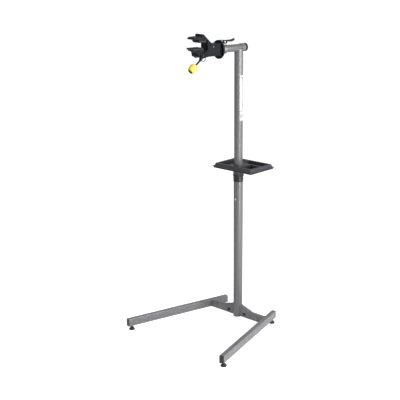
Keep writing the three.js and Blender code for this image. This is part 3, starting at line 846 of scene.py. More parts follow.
def make_stub(label, side):
    node = f"{label}_stub"
    low, high = span(node, BASE)
    inner = min(abs(low.x), abs(high.x))
    outer = max(abs(low.x), abs(high.x)) + 2
    half = high.y
    rings = []
    for amount, distance in (
        (LEG_WALL, inner), (0.3, inner), (0, inner + 0.3),
        (0, outer), (LEG_WALL, outer),
    ):
        outline = rounded_rect(
            amount - half, half - amount, low.z + amount, high.z - amount,
            LEG_CORNER - 0.6 * amount, 8,
        )
        rings.append([Vector((side * distance, point.x, point.y)) for point in outline])
    stub = skin(rings, joined=True)

    leg_local, spacing = leg_frame(label)
    leg_low, leg_high = span(f"{label}_leg", leg_local)
    outline = rounded_rect(
        leg_low.x - GAP, leg_high.x + GAP, leg_low.z - GAP, leg_high.z + GAP, LEG_CORNER, 8
    )
    leg_block = prism(outline, leg_low.y, leg_high.y, along_y, edge=0)
    leg_block.data.transform(BASE.inverted() @ leg_local)
    bolt = rod(BOLT_HOLE, -40, 40, bolt_place(label, along_y))
    publish(carve(stub, leg_block, bolt), f"{node}_tube", BASE, node)

    splay = math.atan2(leg_local[0][1], leg_local[1][1])  # lean of the leg from front to rear
    centre = (BASE.inverted() @ leg_local @ Vector((0, spacing, 0))).xy
    path = []
    for point in rounded_rect(-half - 0.4, half + 0.4, low.z - 0.1, high.z + 0.1, 2.5, 4):
        face = centre.x + (point.x - centre.y) * math.tan(splay) - side * LEG_HALF / math.cos(splay)
        path.append((face - side * 0.3, point.x, point.y))
    publish(weld(path, closed=True), f"{label}_leg_weld", BASE, slot="frame_paint",
            body="stand_base")


def bolt_place(label, place):
    """Place function moved to the axis of a wing's bolt."""
    low, high = span(f"{label}_wing_nut", BASE)
    return shifted(place, u=(low.x + high.x) / 2, v=(low.z + high.z) / 2)


def make_wing(label, side):
    """Folded U-shaped bracket between the column and a stub."""
    node = f"{label}_wing"
    low, high = span(node, BASE)
    end = max(abs(low.x), abs(high.x))
    half = high.y
    stub_top = span(f"{label}_stub", BASE)[1].z
    end_top = stub_top + GAP + WING_WALL
    fall = (high.z - end_top) / (end - COLUMN_RADIUS)
    spare = 12

    def roof(below):
        return [
            (side * 8, low.z - spare), (side * (end + spare), low.z - spare),
            (side * (end + spare), end_top - fall * spare - below),
            (side * COLUMN_RADIUS, high.z - below), (side * 8, high.z - below),
        ]

    wing = prism(fillet(roof(0)), -half, half, along_y, edge=3)
    hollow = prism(fillet(roof(WING_WALL)), WING_WALL - half, half - WING_WALL, along_y, edge=1.2)
    trims = [
        block((-200, -50, low.z - 40), (200, 50, low.z)),
        block((side * end if side > 0 else -200, -50, 0), (200 if side > 0 else -end, 50, 120)),
        rod(COLUMN_RADIUS + GAP, -10, 150, segments=128, edge=0),
        rod(BOLT_HOLE, -40, 40, bolt_place(label, along_y)),
    ]
    wing = soften(carve(wing, hollow, *trims), 0.35)
    publish(wing, f"{node}_bracket", BASE, node)

    reach = COLUMN_RADIUS + 0.5
    lean = math.degrees(math.asin((half + 0.2) / reach))
    top = [(side * point[0], point[1], high.z) for point in arc(0, 0, reach, -lean, lean, 12)]
    path = [(*top[0][:2], low.z + 1)] + top + [(*top[-1][:2], low.z + 1)]
    publish(weld(path), f"{node}_weld", BASE, slot="frame_paint", body="stand_base")


def make_bolt(label):
    low, high = span(f"{label}_wing_bolt", BASE)
    face = span(f"{label}_wing", BASE)[0].y - GAP
    head_place = bolt_place(label, along_arm)
    head = skin(hex_rings(NUT_ACROSS - 1, -face, -low.y, head_place, flange=8.4))
    nut_place = bolt_place(label, along_y)
    shank = rod(STUD_RADIUS, face - 1, high.y, nut_place, edge=0.8)
    publish(fuse(head, shank), f"{label}_hex_bolt", BASE, f"{label}_wing_bolt")

    low, high = span(f"{label}_wing_nut", BASE)
    rings = hex_rings(NUT_ACROSS - 1, low.y, high.y, nut_place, bore=BOLT_HOLE, flange=8.4)
    publish(skin(rings, joined=True), f"{label}_flange_nut", BASE, f"{label}_wing_nut")


for label, side in (("left", -1), ("right", 1)):
    make_stub(label, side)
    make_wing(label, side)
    make_bolt(label)


# ---- column, collar and label ----

UPPER_RADIUS = span("upper_column", ARM)[1].x
UPPER_WALL = 1.6
FLUTES = 24
LABEL_TURN = -10  # the arm's swivel, so that the decal faces the stand's right side


def make_lower_column():
    low, high = span("lower_column", BASE)
    radius = high.x
    lower = tube(radius - UPPER_WALL, radius, low.z, high.z, edge=0.5)
    screw_low, screw_high = span("guide_screw", BASE)
    screw_z = (screw_low.z + screw_high.z) / 2
    face = shifted(along_arm, v=screw_z)
    hole = rod(2.8, radius - 5, radius + 5, face)
    publish(carve(lower, hole), "lower_tube", BASE, "lower_column")

    head = (screw_high.x - screw_low.x) / 2
    button = button_screw(head, radius - 0.1, -screw_low.y, face, 3.2)
    shank = rod(2.5, -screw_high.y, radius + 0.5, face, 32)
    publish(fuse(button, shank), "guide_button_screw", BASE, "guide_screw")


def make_ferrule():
    """Ribbed sleeve that joins the collar to the lower tube."""
    low, high = span("collar_ferrule", BASE)
    radius = high.x
    bore = COLUMN_RADIUS + GAP
    band = (high.z - low.z) / 3
    groove = 1.35
    profile = [(bore, low.z, 0.2)]
    for k in range(3):
        bottom = low.z + k * band
        profile += [
            (radius - groove, bottom + 0.2, 0.2), (radius - groove, bottom + 1.3, 0.3),
            (radius, bottom + 2.4, 0.8), (radius, bottom + band - 2, 0.8),
            (radius - groove, bottom + band - 0.9, 0.3),
        ]
    profile.append((bore, high.z, 0.2))

    def ribs(reach, angle, height):
        if reach < radius - 0.9:
            return reach
        return reach - 0.15 * max(0.0, math.cos(48 * angle)) ** 3

    sleeve = turned(profile, upright, 384, joined=True, shape=ribs)
    publish(sleeve, "ribbed_ferrule", BASE, "collar_ferrule")


def make_collar_nut():
    low, high = span("collar_nut", BASE)
    radius = high.x
    bore = UPPER_RADIUS + 0.5

    def flutes(reach, angle, height):
        if reach < radius - 2.5:
            return reach
        return reach - 0.9 * max(0.0, math.cos(FLUTES * angle)) ** 2

    nut = turned(
        [
            (bore, low.z, 0.3), (radius - 0.6, low.z, 0.4), (radius, low.z + 0.8, 0.5),
            (radius, high.z - 1.4, 0.6), (radius - 1.4, high.z, 0.6), (bore + 0.8, high.z, 0.3),
            (bore, high.z - 0.8, 0.3),
        ],
        upright, 288, joined=True, shape=flutes,
    )
    publish(nut, "fluted_collar_nut", BASE, "collar_nut")


def make_upper_column():
    low, high = span("upper_column", ARM)
    arm_radius = span("arm_tube", ARM)[1].x
    upper = tube(UPPER_RADIUS - UPPER_WALL, UPPER_RADIUS, low.z, 20, edge=0.5)
    saddle = rod(arm_radius + GAP, -100, 100, along_arm, 128, edge=0)
    lid = block((-60, -60, high.z), (60, 60, 60))
    publish(carve(upper, saddle, lid), "upper_tube", ARM, "upper_column")

    path = []
    for point in arc(0, 0, UPPER_RADIUS + 0.2, -130, -50, 40):
        drop = math.sqrt(max(arm_radius**2 - point[0] ** 2, high.z**2))
        path.append((point[0], point[1], -drop - 0.3))
    publish(weld(path, radius=1.9), "arm_weld", ARM, slot="frame_paint", body="mast")


def tube_patch(radius, thickness, angle_low, angle_high, z_low, z_high):
    """Piece of film on a tube, between two angles in degrees."""
    rings = []
    for reach in (radius, radius + thickness):
        foot = arc(0, 0, reach, angle_low, angle_high, 8)
        head = arc(0, 0, reach, angle_high, angle_low, 8)
        ring = [Vector((u, v, z_low)) for u, v, _ in foot]
        ring += [Vector((u, v, z_high)) for u, v, _ in head]
        rings.append(ring)
    return rings


def make_label():
    """Plain striped decal on the right side of the upper tube, with a solid block at its foot."""
    radius = UPPER_RADIUS + 0.05
    film = 0.1
    half = 31
    foot = -361.5
    block_top = -313.5
    top = -135.5
    cap = 9
    pitch = 8.5
    block_film = bmesh.new()
    add_skin(block_film, tube_patch(radius, film, -half, half, foot, block_top))
    stripes = bmesh.new()
    add_skin(stripes, tube_patch(radius, film, -half, -9, block_top + 3, top - cap - 3))
    for k in range(int((top - cap - block_top - 6) / pitch)):
        z = block_top + 3 + k * pitch
        add_skin(stripes, tube_patch(radius, film, -4, half, z, z + 5))
    add_skin(stripes, tube_patch(radius, film, -half, half, top - cap, top))
    turn = Matrix.Rotation(-math.radians(LABEL_TURN), 4, "Z")
    for shell, name, look in (
        (block_film, "decal_block", vinyl("vinyl_grey", 0.5)),
        (stripes, "striped_decal", vinyl("vinyl_white", 0.68)),
    ):
        label = solid(shell)
        label.data.transform(turn)
        publish(label, name, ARM, body="mast", look=look)


make_lower_column()
make_ferrule()
make_collar_nut()
make_upper_column()
make_label()


# ---- tool tray ----

TRAY_CORNER = 5
POCKET_CORNER = 8
TRAY_WALL = 2.5
LIP = 4
LIP_HEIGHT = 2.5
LIP_DROP = 17  # rim to the underside of the ledge
TRAY_HEIGHT = 24
POCKET_DEPTH = 21
FLARE = 9


def rect_ring(rect, grow, z, corner):
    """Ring of a rounded rectangle grown by some amount."""
    x_low, x_high, y_low, y_high = rect
    outline = rounded_rect(x_low - grow, x_high + grow, y_low - grow, y_high + grow, corner, 8)
    return [Vector((point.x, point.y, z)) for point in outline]


def fill_between(shell, loops):
    """Flat face inside the first loop and outside the others."""
    edges = []
    for loop in loops:
        for i, vertex in enumerate(loop):
            other = loop[(i + 1) % len(loop)]
            edge = shell.edges.get((vertex, other))
            edges.append(edge or shell.edges.new((vertex, other)))
    bmesh.ops.triangle_fill(shell, use_beauty=True, edges=edges)


def make_tray():
    low, high = span("tool_tray", BASE)
    lip_reach = FLARE + LIP
    rim = (low.x + lip_reach, high.x - lip_reach, low.y + lip_reach, high.y - lip_reach)
    top = high.z
    bottom = top - TRAY_HEIGHT
    hub_radius = 26
    hub_bottom = low.z
    bore = UPPER_RADIUS + 0.5
    pockets = [
        (-104, -34, -34, 107),
        (40, 111, -36, 40),
        (-24, 111, 50, 107),
    ]
    shell = bmesh.new()
    roof = top - TRAY_WALL

    def flared(grow, z):
        spread = FLARE * (top - z) / (top - bottom)
        return rect_ring(rim, grow + spread, z, TRAY_CORNER + (grow + spread) * 0.2)

    ledge = top - LIP_DROP
    ledge_top = ledge + LIP_HEIGHT
    outer = [
        flared(-TRAY_WALL, roof), flared(-TRAY_WALL, bottom), flared(-0.6, bottom),
        flared(0, bottom + 0.6), flared(0, ledge),
        rect_ring(rim, lip_reach - 0.8, ledge, TRAY_CORNER),
        rect_ring(rim, lip_reach, ledge + 0.8, TRAY_CORNER),
        rect_ring(rim, lip_reach, ledge_top - 0.8, TRAY_CORNER),
        rect_ring(rim, lip_reach - 0.8, ledge_top, TRAY_CORNER),
        flared(0.9, ledge_top), flared(0.15, ledge_top + 0.9), flared(0, top - 1.6),
    ]
    rim_radius = 1.6
    for turn in (0.39, 0.79, 1.18, 1.57):
        inwards = rim_radius * (1 - math.cos(turn))
        outer.append(flared(-inwards, top - rim_radius + rim_radius * math.sin(turn)))
    rows = add_skin(shell, outer, caps=(False, False))
    inner_loop, top_loop = rows[0], rows[-1]

    top_loops = [top_loop]
    roof_loops = [inner_loop]
    floor = top - POCKET_DEPTH
    for rect in pockets:
        rings = []
        for spread, drop in quarter(1.5):
            rings.append(rect_ring(rect, spread, top - drop, POCKET_CORNER + spread))
        for rise, inwards in quarter(3):
            rings.append(rect_ring(rect, -0.6 - inwards, floor + rise, POCKET_CORNER - 0.6))
        rows = add_skin(shell, rings, caps=(False, True))
        top_loops.append(rows[0])
        rings = [
            rect_ring(rect, TRAY_WALL, roof, POCKET_CORNER + TRAY_WALL),
            rect_ring(rect, TRAY_WALL - 0.6, floor - TRAY_WALL + 2.5, POCKET_CORNER + TRAY_WALL),
            rect_ring(rect, TRAY_WALL - 1.4, floor - TRAY_WALL + 0.7, POCKET_CORNER + TRAY_WALL),
            rect_ring(rect, TRAY_WALL - 3.2, floor - TRAY_WALL, POCKET_CORNER + TRAY_WALL),
        ]
        rows = add_skin(shell, rings, caps=(False, True))
        roof_loops.append(rows[0])

    def circle(radius, z):
        return [Vector((*point[:2], z)) for point in arc(0, 0, radius, 0, 356.25, 95)]

    hub = [
        circle(hub_radius, roof), circle(hub_radius, hub_bottom + 0.8),
        circle(hub_radius - 0.8, hub_bottom), circle(bore + 0.8, hub_bottom),
        circle(bore, hub_bottom + 0.8), circle(bore, top - 1), circle(bore + 0.4, top - 0.3),
        circle(bore + 1, top),
    ]
    rows = add_skin(shell, hub, caps=(False, False))
    roof_loops.append(rows[0])
    top_loops.append(rows[-1])
    fill_between(shell, top_loops)
    fill_between(shell, roof_loops)
    publish(solid(shell), "moulded_tray", BASE, "tool_tray", crease=50)


make_tray()


# ---- arm, rear cap and rotation lock ----

ARM_RADIUS = span("arm_tube", ARM)[1].x
ARM_WALL = 2
LOCK_AXIS = ARM.inverted() @ Vector(joints["rotation_lock_lever"]["pos_m"])
AT_LOCK = shifted(side_on, -LOCK_AXIS.y, LOCK_AXIS.z)
SLOT = 4  # saw cut through the collar lugs
LUG_HALF = 12


def make_arm_tube():
    low, high = span("arm_tube", ARM)
    arm = tube(ARM_RADIUS - ARM_WALL, ARM_RADIUS, -high.y, -low.y, along_arm)
    cut = block((-SLOT / 2, low.y - 5, 0), (SLOT / 2, low.y + 46, 40))
    publish(carve(arm, cut), "arm_tube_rolled", ARM, "arm_tube")


def make_sleeve():
    """Painted saddle sleeve over the arm, behind the column."""
    low, high = span("arm_sleeve", ARM)
    sleeve = tube(ARM_RADIUS + GAP, high.x, -high.y, -low.y, along_arm, edge=0)
    around = rod(UPPER_RADIUS + 0.8, -80, 0, segments=128, edge=0)
    sleeve = cast(carve(sleeve, around), 0.4, 2)
    publish(sleeve, "arm_saddle_sleeve", ARM, "arm_sleeve", crease=60)


def make_rear_cap():
    low, high = span("arm_rear_cap", ARM)
    radius = high.x
    bore = ARM_RADIUS + GAP
    back = -high.y
    front = -low.y
    cap = turned(
        [
            (0, back + 1, 0), (radius - 8, back + 0.9, 2), (radius - 7, back, 1),
            (radius, back, 4), (radius, front, 1), (bore, front, 0.3), (bore, back + 3, 0.5),
            (0, back + 3, 0),
        ],
        along_arm, 128,
    )
    publish(cap, "arm_end_cap", ARM, "arm_rear_cap", look=LEVER_BLACK)


def make_clamp_collar():
    low, high = span("clamp_collar", ARM)
    rear = -high.y
    front = -low.y
    outer = -low.x
    barrel = turned(
        [
            (0, rear, 0), (outer, rear, 1.2), (outer, rear + 5, 0.6),
            (outer - 0.9, rear + 6.5, 0.8), (outer - 0.9, front - 6.5, 0.8),
            (outer, front - 5, 0.6), (outer, front, 1.2), (0, front, 0),
        ],
        along_arm, 128,
    )
    lugs = prism(
        fillet(
            [(rear + 0.4, 4), (front - 0.4, 4), (front - 0.4, high.z, 9), (rear + 0.4, high.z, 12)],
            1, 10,
        ),
        -LUG_HALF, LUG_HALF, side_on, edge=0,
    )
    collar = carve(
        fuse(barrel, lugs),
        rod(ARM_RADIUS + GAP, 0, 200, along_arm, 128, edge=0),
        block((-SLOT / 2, -200, 0), (SLOT / 2, -50, 80)),
        rod(3.3, -60, 60, AT_LOCK, edge=0),
    )
    publish(cast(collar, 0.5, 4), "split_clamp_collar", ARM, "clamp_collar", crease=60)


def make_lock_bolt():
    low, high = span("lock_bolt", ARM)
    pivot_place = shifted(upright, LOCK_AXIS.x, LOCK_AXIS.y)
    shank = rod(3, low.x + 1, LOCK_AXIS.x - 2, AT_LOCK, edge=0.3)
    nut = skin(hex_rings(12, LUG_HALF + GAP, -low.x, lambda u, v, w: AT_LOCK(u, v, -w)))
    eye = rod(5, LOCK_AXIS.z - 3.5, LOCK_AXIS.z + 3.5, pivot_place, edge=0.8)
    pivot = rod(2, low.z, high.z, pivot_place, 32, edge=0.5)
    publish(fuse(shank, nut, eye, pivot), "lock_eye_bolt", ARM, "lock_bolt")


def make_lock_lever():
    """Cam fork and curved bar of the quick release."""
    x, y, z = LOCK_AXIS
    fork = 6.5
    height = 8
    end = span("lock_lever", ARM)[1].y
    axis = shifted(upright, x, y)
    cam = rod(fork, z - height, z + height, axis, edge=1)
    root = prism(
        rounded_rect(x - fork, x + fork, y - 1, y + 11, 1.5), z - height, z + height, edge=0
    )
    top = z + height
    bar = prism(
        fillet(
            [
                (-y - 6, top, 2), (-y - 6, top - 3.8, 1), (-y - 10, top - 8, 3),
                (-y - 40, top - 9.5, 20), (-y - 50, top - 7, 12), (-end, top - 3, 3),
                (-end, top + 6, 3), (-y - 52, top + 4, 8), (-y - 40, top + 0.5, 14),
                (-y - 18, top + 0.2, 10),
            ],
            1, 8,
        ),
        x - 6, x + 4, side_on, edge=0,
    )
    space = rod(6.5, z - 3.9, z + 3.9, axis, edge=0)
    mouth = block((x - 30, y - 30, z - 3.9), (x + fork + 1, y, z + 3.9))
    relief = block((x - 30, y - 1, z - 3.9), (x, y + 4, z + 3.9))
    pin_hole = rod(2 + GAP, z - 20, z + 20, axis, 32, edge=0)
    fork_shape = carve(fuse(cam, root), space, mouth, relief, pin_hole)
    lever = cast(fuse(fork_shape, bar), 0.4, 6)
    publish(lever, "quick_release_lever", ARM, "lock_lever", look=LEVER_BLACK, crease=60)


make_arm_tube()
make_sleeve()
make_rear_cap()
make_clamp_collar()
make_lock_bolt()
make_lock_lever()


# ---- clamp head ----

HINGE_A, HINGE_Z = arm_point(joints["jaw_pivot"]["pos_m"])
CAM_A, CAM_Z = arm_point(joints["handle_swing"]["pos_m"])
HEAD_HALF = 28
KNUCKLE = 14  # radius of the head round the hinge pin
CHEEK_INNER = 21.8
HEAD_BACK = 130.3  # rear face of the casting, against the flange
THROAT_A = 212
PAD_SEAT = 52  # underside of the upper jaw, where its pad sits
JAW_SEAT = 8  # top of the lower jaw, under its pad
HINGE_HOLE = 4.3
CAM_HOLE = 3.3
VOXEL = 0.75
AT_HINGE = shifted(side_on, HINGE_A, HINGE_Z)
AT_CAM = shifted(side_on, CAM_A, CAM_Z)
screw_low, screw_high = span("head_screw", ARM)
AT_SCREW = shifted(
    side_on, -(screw_low.y + screw_high.y) / 2, (screw_low.z + screw_high.z) / 2
)


def on_both_sides(outlines, near, far):
    """Prisms of some outlines from near to far, on each side of the head."""
    prisms = []
    for low, high in ((-far, -near), (near, far)):
        prisms += [prism(outline, low, high, side_on, edge=0) for outline in outlines]
    return prisms


def make_flange():
    low, high = span("flange_disc", ARM)
    rear = -high.y
    front = -low.y
    radius = high.x

    def notches(reach, angle, distance):
        if reach < radius - 0.4:
            return reach
        return reach - 0.8 * max(0.0, math.cos(36 * angle)) ** 6

    disc = turned(
        [
            (0, rear, 0), (30, rear, 0.5), (31, rear + 0.9, 0.5), (39, rear + 0.9, 0.5),
            (40, rear, 0.5), (radius - 1, rear, 0.6), (radius, rear + 1.2, 0.8),
            (radius, front - 1.2, 0.8), (radius - 1, front, 0.6), (radius - 4.5, front, 0.5),
            (radius - 5.2, front - 1.2, 0.5), (0, front - 1.2, 0),
        ],
        along_arm, 432, shape=notches,
    )
    publish(disc, "indexed_flange", ARM, "flange_disc")


def make_head_body():
    outline = fillet(
        [
            (HEAD_BACK, -30, 1), (140, -27, 6), (206, -27, 8), (230, -31, 4),
            *arc(HINGE_A, HINGE_Z, KNUCKLE, -110, 80),
            (224, -5, 3), (THROAT_A, 6, 5), (THROAT_A, PAD_SEAT, 3),
            (262, PAD_SEAT, 3), (272, 56, 6), (290, 57, 4), (294, 60, 3), (290, 66, 3),
            (284, 69, 4), (262, 69, 4), (257, 71, 3), (246, 67, 3), (245, 81, 3), (236, 81, 3),
            (185, 33, 12), (140, 31, 6), (HEAD_BACK, 34, 1),
        ],
        1, 5,
    )
    body = prism(outline, -HEAD_HALF, HEAD_HALF, side_on, edge=0)
    neck = rod(34, HEAD_BACK, 137, along_arm, 96, edge=1.5)
    # no wider than the knuckle, so that it clears the seat of the lower jaw
    boss = rod(KNUCKLE, -HEAD_HALF - 1.2, HEAD_HALF + 1.2, AT_HINGE, edge=1)
    cheek_space = prism(
        fillet([(198, -60), (275, -60), (275, 12), (232, 12), (210, -6), (198, -12)], 3),
        -CHEEK_INNER, CHEEK_INNER, side_on, edge=0,
    )
    core = block((-20, -190, -60), (20, -142, 22))
    web = [
        (150, -19, 4), (205, -19, 4), (222, -22, 4), (222, -10, 4), (207, 0, 4), (206, 40, 6),
        (190, 26, 8), (150, 23, 4),
    ]
    jaw_web = [(222, 59, 2), (254, 59, 3), (238, 74, 3)]
    hollows = [
        cheek_space,
        core,
        rod(HINGE_HOLE, -60, 60, AT_HINGE, edge=0),
        rod(CAM_HOLE, -60, 60, AT_CAM, edge=0),
        rod(2.3, HEAD_HALF - 7, HEAD_HALF + 5, AT_SCREW, edge=0),
    ]
    webs = [fillet(web, 1, 5), fillet(jaw_web, 1, 5)]
    panels = on_both_sides(webs, HEAD_HALF - 1.8, HEAD_HALF + 6)
    boss_depth = 8
    screw_bosses = [
        rod(8, start, start + boss_depth, AT_SCREW, edge=0.5)
        for start in (-HEAD_HALF, HEAD_HALF - boss_depth)
    ]
    body = carve(fuse(body, neck, boss), *panels)
    body = carve(fuse(body, *screw_bosses), *hollows)
    body = cast(body, VOXEL, 7)
    publish(body, "head_casting", ARM, "head_body", crease=60)


def make_head_screw():
    radius = (screw_high.z - screw_low.z) / 2
    button = button_screw(radius, HEAD_HALF + 0.1, screw_high.x, AT_SCREW, 3)
    shank = rod(2, screw_low.x, HEAD_HALF + 0.8, AT_SCREW, 32)
    screw = fuse(button, shank)
    publish(screw, "head_button_screw", ARM, "head_screw", slot="collar_alloy")


def make_pads():
    low, high = span("upper_pad", ARM)
    grip = low.z
    back = high.z
    start, end = -high.y, -low.y
    outline = [(start, back, 0.5), (start + 4, grip, 1)]
    for k in range(5):
        middle = start + 11 + k * (end - start - 24) / 4
        outline += [(middle - 1.6, grip, 0.3), (middle, grip + 1.8, 0.3), (middle + 1.6, grip, 0.3)]
    outline += [(end - 10, grip, 1), (end, back, 0.5)]
    pad = prism(fillet(outline, 0.5, 3), low.x, high.x, side_on, edge=1.2)
    publish(pad, "upper_jaw_rubber", ARM, "upper_pad")

    low, high = span("lower_pad", ARM)
    grip = high.z
    start, end = -high.y, -low.y
    outline = [(start, grip, 1), (start, low.z, 0.5), (end - 9, low.z, 1)]
    outline += [(end - 3, low.z + 3.7, 1), (end, grip, 1.5)]
    for k in range(6):
        middle = end - 9 - k * (end - start - 17) / 5
        outline += [(middle + 1.6, grip, 0.3), (middle, grip - 1.8, 0.3), (middle - 1.6, grip, 0.3)]
    pad = prism(fillet(outline, 0.5, 3), low.x, high.x, side_on, edge=1.2)
    publish(pad, "lower_jaw_rubber", ARM, "lower_pad")


def make_lower_jaw():
    front = fillet(
        [
            (236, JAW_SEAT, 1), (231, -2.5, 2), (241, -4.5, 1),
            *arc(HINGE_A, HINGE_Z, 14.9, 98, -25),
            (262, -26, 3), (267, -23, 3), (270, -6, 6), (276, 1, 5), (287, 2, 3),
            (291, JAW_SEAT, 1),
        ],
        1, 5,
    )
    tongue = fillet(
        [
            (232, JAW_SEAT, 1), (228, -2, 3), (226.5, -8, 3),
            *arc(HINGE_A, HINGE_Z, 11.5, 180, 300),
            (262, -26, 2), (262, JAW_SEAT, 1),
        ],
        1, 5,
    )
    jaw = prism(front, -HEAD_HALF, HEAD_HALF, side_on, edge=0)
    middle = prism(tongue, 0.8 - CHEEK_INNER, CHEEK_INNER - 0.8, side_on, edge=0)
    cutters = [
        block((-8, -255, -60), (8, -200, JAW_SEAT - 4)),
        rod(HINGE_HOLE, -60, 60, AT_HINGE, edge=0),
    ]
    panel = fillet([(248, 4.5, 1), (283, 4.5, 1), (272, 2.5, 2), (266, -4, 3), (252, -1, 2)], 1, 4)
    cutters += on_both_sides([panel], HEAD_HALF - 1.4, HEAD_HALF + 5)
    jaw = cast(carve(fuse(jaw, middle), *cutters), VOXEL * 0.8, 6)
    publish(jaw, "lower_jaw_casting", ARM, "lower_jaw", crease=60)


def make_pins():
    low, high = span("hinge_pin", ARM)
    ring_x = (span("pull_ring", ARM)[0].x + span("pull_ring", ARM)[1].x) / 2
    pin = turned(
        [
            (0, low.x + 0.3, 0), (3, low.x + 0.3, 0.3), (3.6, low.x, 0.3), (7, low.x, 0.9),
            (7, low.x + 2.5, 0.3), (4, low.x + 2.5, 0), (4, high.x, 1), (0, high.x, 0),
        ],
        AT_HINGE, 64,
    )
    across = rod(2.1, -HINGE_A - 20, -HINGE_A + 20,
                 lambda u, v, w: Vector((ring_x + u, w, HINGE_Z + v)), 32, edge=0)
    publish(carve(pin, across), "hinge_clevis_pin", ARM, "hinge_pin", look=LOOKS["dark_bolts"])

    low, high = span("cam_pin", ARM)
    pin = turned(
        [
            (0, low.x + 0.5, 0), (1, low.x + 0.5, 0.2), (1.4, low.x, 0.2), (3, low.x, 0.6),
            (3, high.x, 0.6), (1.4, high.x, 0.2), (1, high.x - 0.5, 0.2), (0, high.x - 0.5, 0),
        ],
        AT_CAM, 48,
    )
    publish(pin, "cam_dowel", ARM, "cam_pin", look=RING_BLACK)


def make_ring():
    """Round wire pull ring through the end of the hinge pin."""
    low, high = span("pull_ring", ARM)
    centre = (low + high) / 2
    radius = (high.y - low.y - (high.x - low.x)) / 2
    wire = 1.5
    points = []
    for k in range(96):
        angle = math.tau * k / 96
        points.append(Vector((
            centre.x, centre.y + radius * math.sin(angle), centre.z + radius * math.cos(angle)
        )))
    ring = sweep(points, lambda k: wire, 16, closed=True)
    publish(ring, "pull_ring_wire", ARM, "pull_ring", look=RING_BLACK, crease=60)


make_flange()
make_head_body()
make_head_screw()
make_pads()
make_lower_jaw()
make_pins()
make_ring()


# ---- cam lever, handle and knob ----

ROD_RADIUS = 3.5
KNOB_START = span("lever_knob", HANDLE)[0].z


def make_cam_lever():
    """Cam with a waisted neck that runs into the handle rod."""
    cam_radius = 9
    half = 6.5
    cam = rod(cam_radius, -half, half, AT_CAM, edge=1)
    neck = prism(
        fillet([(219.5, -24), (227, -41), (234, -46), (241, -39), (236.5, -21)], 3, 5),
        -6, 6, side_on, edge=1.5,
    )
    hole = rod(CAM_HOLE, -20, 20, AT_CAM, edge=0)
    to_arm = ARM.inverted() @ HANDLE
    top = -77  # start of the handle line, above the middle of the knob
    taper = turned(
        [(0, top + 10, 0), (6.4, top + 10), (6, top + 22, 3), (4.2, top + 27, 3), (0, top + 27, 0)]
    )
    bar = rod(ROD_RADIUS, top + 12, 17, edge=0.8)
    grip = rod(ROD_RADIUS + 0.9, top + 18, KNOB_START - 1, edge=0.5)
    for shape in (taper, bar, grip):
        shape.data.transform(to_arm)
    lever = cast(carve(fuse(cam, neck, taper, bar, grip), hole), 0.5, 3)
    publish(lever, "cam_lever_forged", ARM, "cam_lever", look=LEVER_BLACK, crease=60)


def make_knob():
    low, high = span("lever_knob", HANDLE)
    radius = (high.x - low.x) / 2
    bore = ROD_RADIUS + GAP
    cap_radius = 10

    def grips(reach, angle, height):
        if reach < radius - 5:
            return reach
        fade = max(0.0, 1 - ((height - (low.z + high.z) / 2) / 15) ** 2)
        return reach - 0.9 * fade * (0.5 + 0.5 * math.cos(8 * angle)) ** 2

    knob = turned(
        [
            (bore, low.z, 0.4), (12, low.z, 2), (16, low.z + 3, 3), (radius, low.z + 12, 7),
            (radius, low.z + 28, 7), (17, low.z + 36, 4), (13, high.z, 1.2),
            (cap_radius, high.z, 0.4), (cap_radius, high.z - 2, 0.2), (bore, high.z - 2, 0.2),
        ],
        upright, 192, joined=True, shape=grips, radius=1,
    )
    publish(knob, "barrel_knob", HANDLE, "lever_knob", crease=45)

    low, high = span("knob_cap", HANDLE)
    cap = turned(
        [
            (0, low.z, 0), (9.6, low.z, 0.3), (9.6, low.z + 2, 0.2), (12.6, low.z + 2, 0.3),
            (12.6, low.z + 3, 0.8), (8.4, high.z - 0.2, 1.5),
            (5.4, high.z, 0.4), (5, high.z - 0.5, 0.3), (0, high.z - 0.5, 0),
        ],
        upright, 96,
    )
    publish(cap, "knob_end_cap", HANDLE, "knob_cap", look=LEVER_BLACK)


make_cam_lever()
make_knob()


# ---- CAD nodes that stay, with a material of their own ----

KEPT = {"collet": "black_plastic", "column_plug": "black_plastic", "head_spindle": "zinc_steel"}
for node, slot in KEPT.items():
    kept = frame["nodes"][node]
    kept.data.materials.clear()
    kept.data.materials.append(LOOKS[slot])


# ---- camera ----

CAMERA_AZIMUTH = math.radians(40.62)
CAMERA_DISTANCE = 4.47456  # level distance from the column
CAMERA_HEIGHT = 1.92436
CAMERA_YAW = math.radians(2.518)
CAMERA_PITCH = math.radians(15.80)
CAMERA_ROLL = math.radians(-0.495)
CAMERA_LENS = 81.32


def make_camera():
    data = bpy.data.cameras.new("camera")
    data.sensor_width = 36
    data.lens = CAMERA_LENS
    camera = bpy.data.objects.new("camera", data)
    bpy.context.scene.collection.objects.link(camera)
    heading = CAMERA_AZIMUTH + CAMERA_YAW
    level = Vector((-math.sin(heading), math.cos(heading), 0))
    forward = level * math.cos(CAMERA_PITCH) - UP * math.sin(CAMERA_PITCH)
    right = Vector((math.cos(heading), math.sin(heading), 0))
    upward = right.cross(forward)
    rolled_right = right * math.cos(CAMERA_ROLL) + upward * math.sin(CAMERA_ROLL)
    rolled_up = upward * math.cos(CAMERA_ROLL) - right * math.sin(CAMERA_ROLL)
    place = Matrix((rolled_right, rolled_up, -forward)).transposed().to_4x4()
    place.translation = column + Vector((
        math.sin(CAMERA_AZIMUTH) * CAMERA_DISTANCE,
        -math.cos(CAMERA_AZIMUTH) * CAMERA_DISTANCE,
        CAMERA_HEIGHT,
    ))
    camera.matrix_world = place
    bpy.context.scene.camera = camera


# ---- studio ----

FLOOR_GLOW = 0.6  # seen by the camera only, so that the floor is white without lighting the stand
SURROUNDINGS = 0.5  # light from all around, against a background seen as white


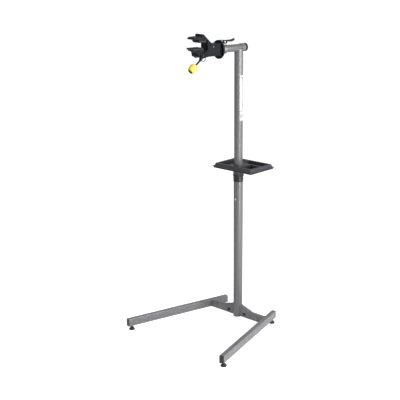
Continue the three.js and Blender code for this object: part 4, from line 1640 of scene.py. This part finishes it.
def make_light(name, azimuth, elevation, distance, size, power):
    """Rectangular soft light aimed at the middle of the stand; azimuth 90 is on its right."""
    data = bpy.data.lights.new(name, "AREA")
    data.shape = "RECTANGLE"
    data.size, data.size_y = size
    data.energy = power
    light = bpy.data.objects.new(name, data)
    bpy.context.scene.collection.objects.link(light)
    turn = math.radians(azimuth)
    rise = math.radians(elevation)
    away = Vector((
        math.sin(turn) * math.cos(rise), -math.cos(turn) * math.cos(rise), math.sin(rise)
    ))
    light.location = Vector((column.x, column.y, 0.8)) + away * distance
    light.rotation_euler = (-away).to_track_quat("-Z", "Y").to_euler()


def make_studio():
    """Pale floor and white surroundings, a key and a strip on the right, a light overhead."""
    half = 60
    mesh = bpy.data.meshes.new("studio_floor")
    corners = [(-half, -half, 0), (half, -half, 0), (half, half, 0), (-half, half, 0)]
    mesh.from_pydata(corners, [], [(0, 1, 2, 3)])
    floor = bpy.data.objects.new("studio_floor", mesh)
    floor.location.z = -0.0004
    bpy.context.scene.collection.objects.link(floor)
    look = Look("studio_floor", (0.93, 0.93, 0.93), 0.75)
    look.mottle(3, 3, 0.4, 0.7, 0.3, (0.9, 0.9, 0.9))
    glow = look.tree.nodes.new("ShaderNodeMath")
    glow.operation = "MULTIPLY"
    glow.inputs[1].default_value = FLOOR_GLOW
    look.link(look.tree.nodes.new("ShaderNodeLightPath").outputs["Is Camera Ray"], glow.inputs[0])
    look.shader.inputs["Emission Color"].default_value = (1, 1, 1, 1)
    look.link(glow.outputs["Value"], look.shader.inputs["Emission Strength"])
    mesh.materials.append(look.material)

    world = bpy.data.worlds.new("studio")
    world.use_nodes = True
    background = world.node_tree.nodes["Background"]
    background.inputs["Color"].default_value = (1, 1, 1, 1)
    seen = world.node_tree.nodes.new("ShaderNodeLightPath").outputs["Is Camera Ray"]
    level = world.node_tree.nodes.new("ShaderNodeMapRange")
    level.inputs["To Min"].default_value = SURROUNDINGS
    level.inputs["To Max"].default_value = 1.0
    world.node_tree.links.new(seen, level.inputs["Value"])
    world.node_tree.links.new(level.outputs["Result"], background.inputs["Strength"])
    bpy.context.scene.world = world

    make_light("key", azimuth=98, elevation=14, distance=3.4, size=(1.6, 2.6), power=112)
    make_light("strip", azimuth=71, elevation=4, distance=2.6, size=(0.12, 2.2), power=34)
    make_light("overhead", azimuth=40, elevation=80, distance=3.4, size=(3.2, 3.2), power=33)


make_camera()
make_studio()
bpy.context.scene.view_settings.view_transform = "Standard"
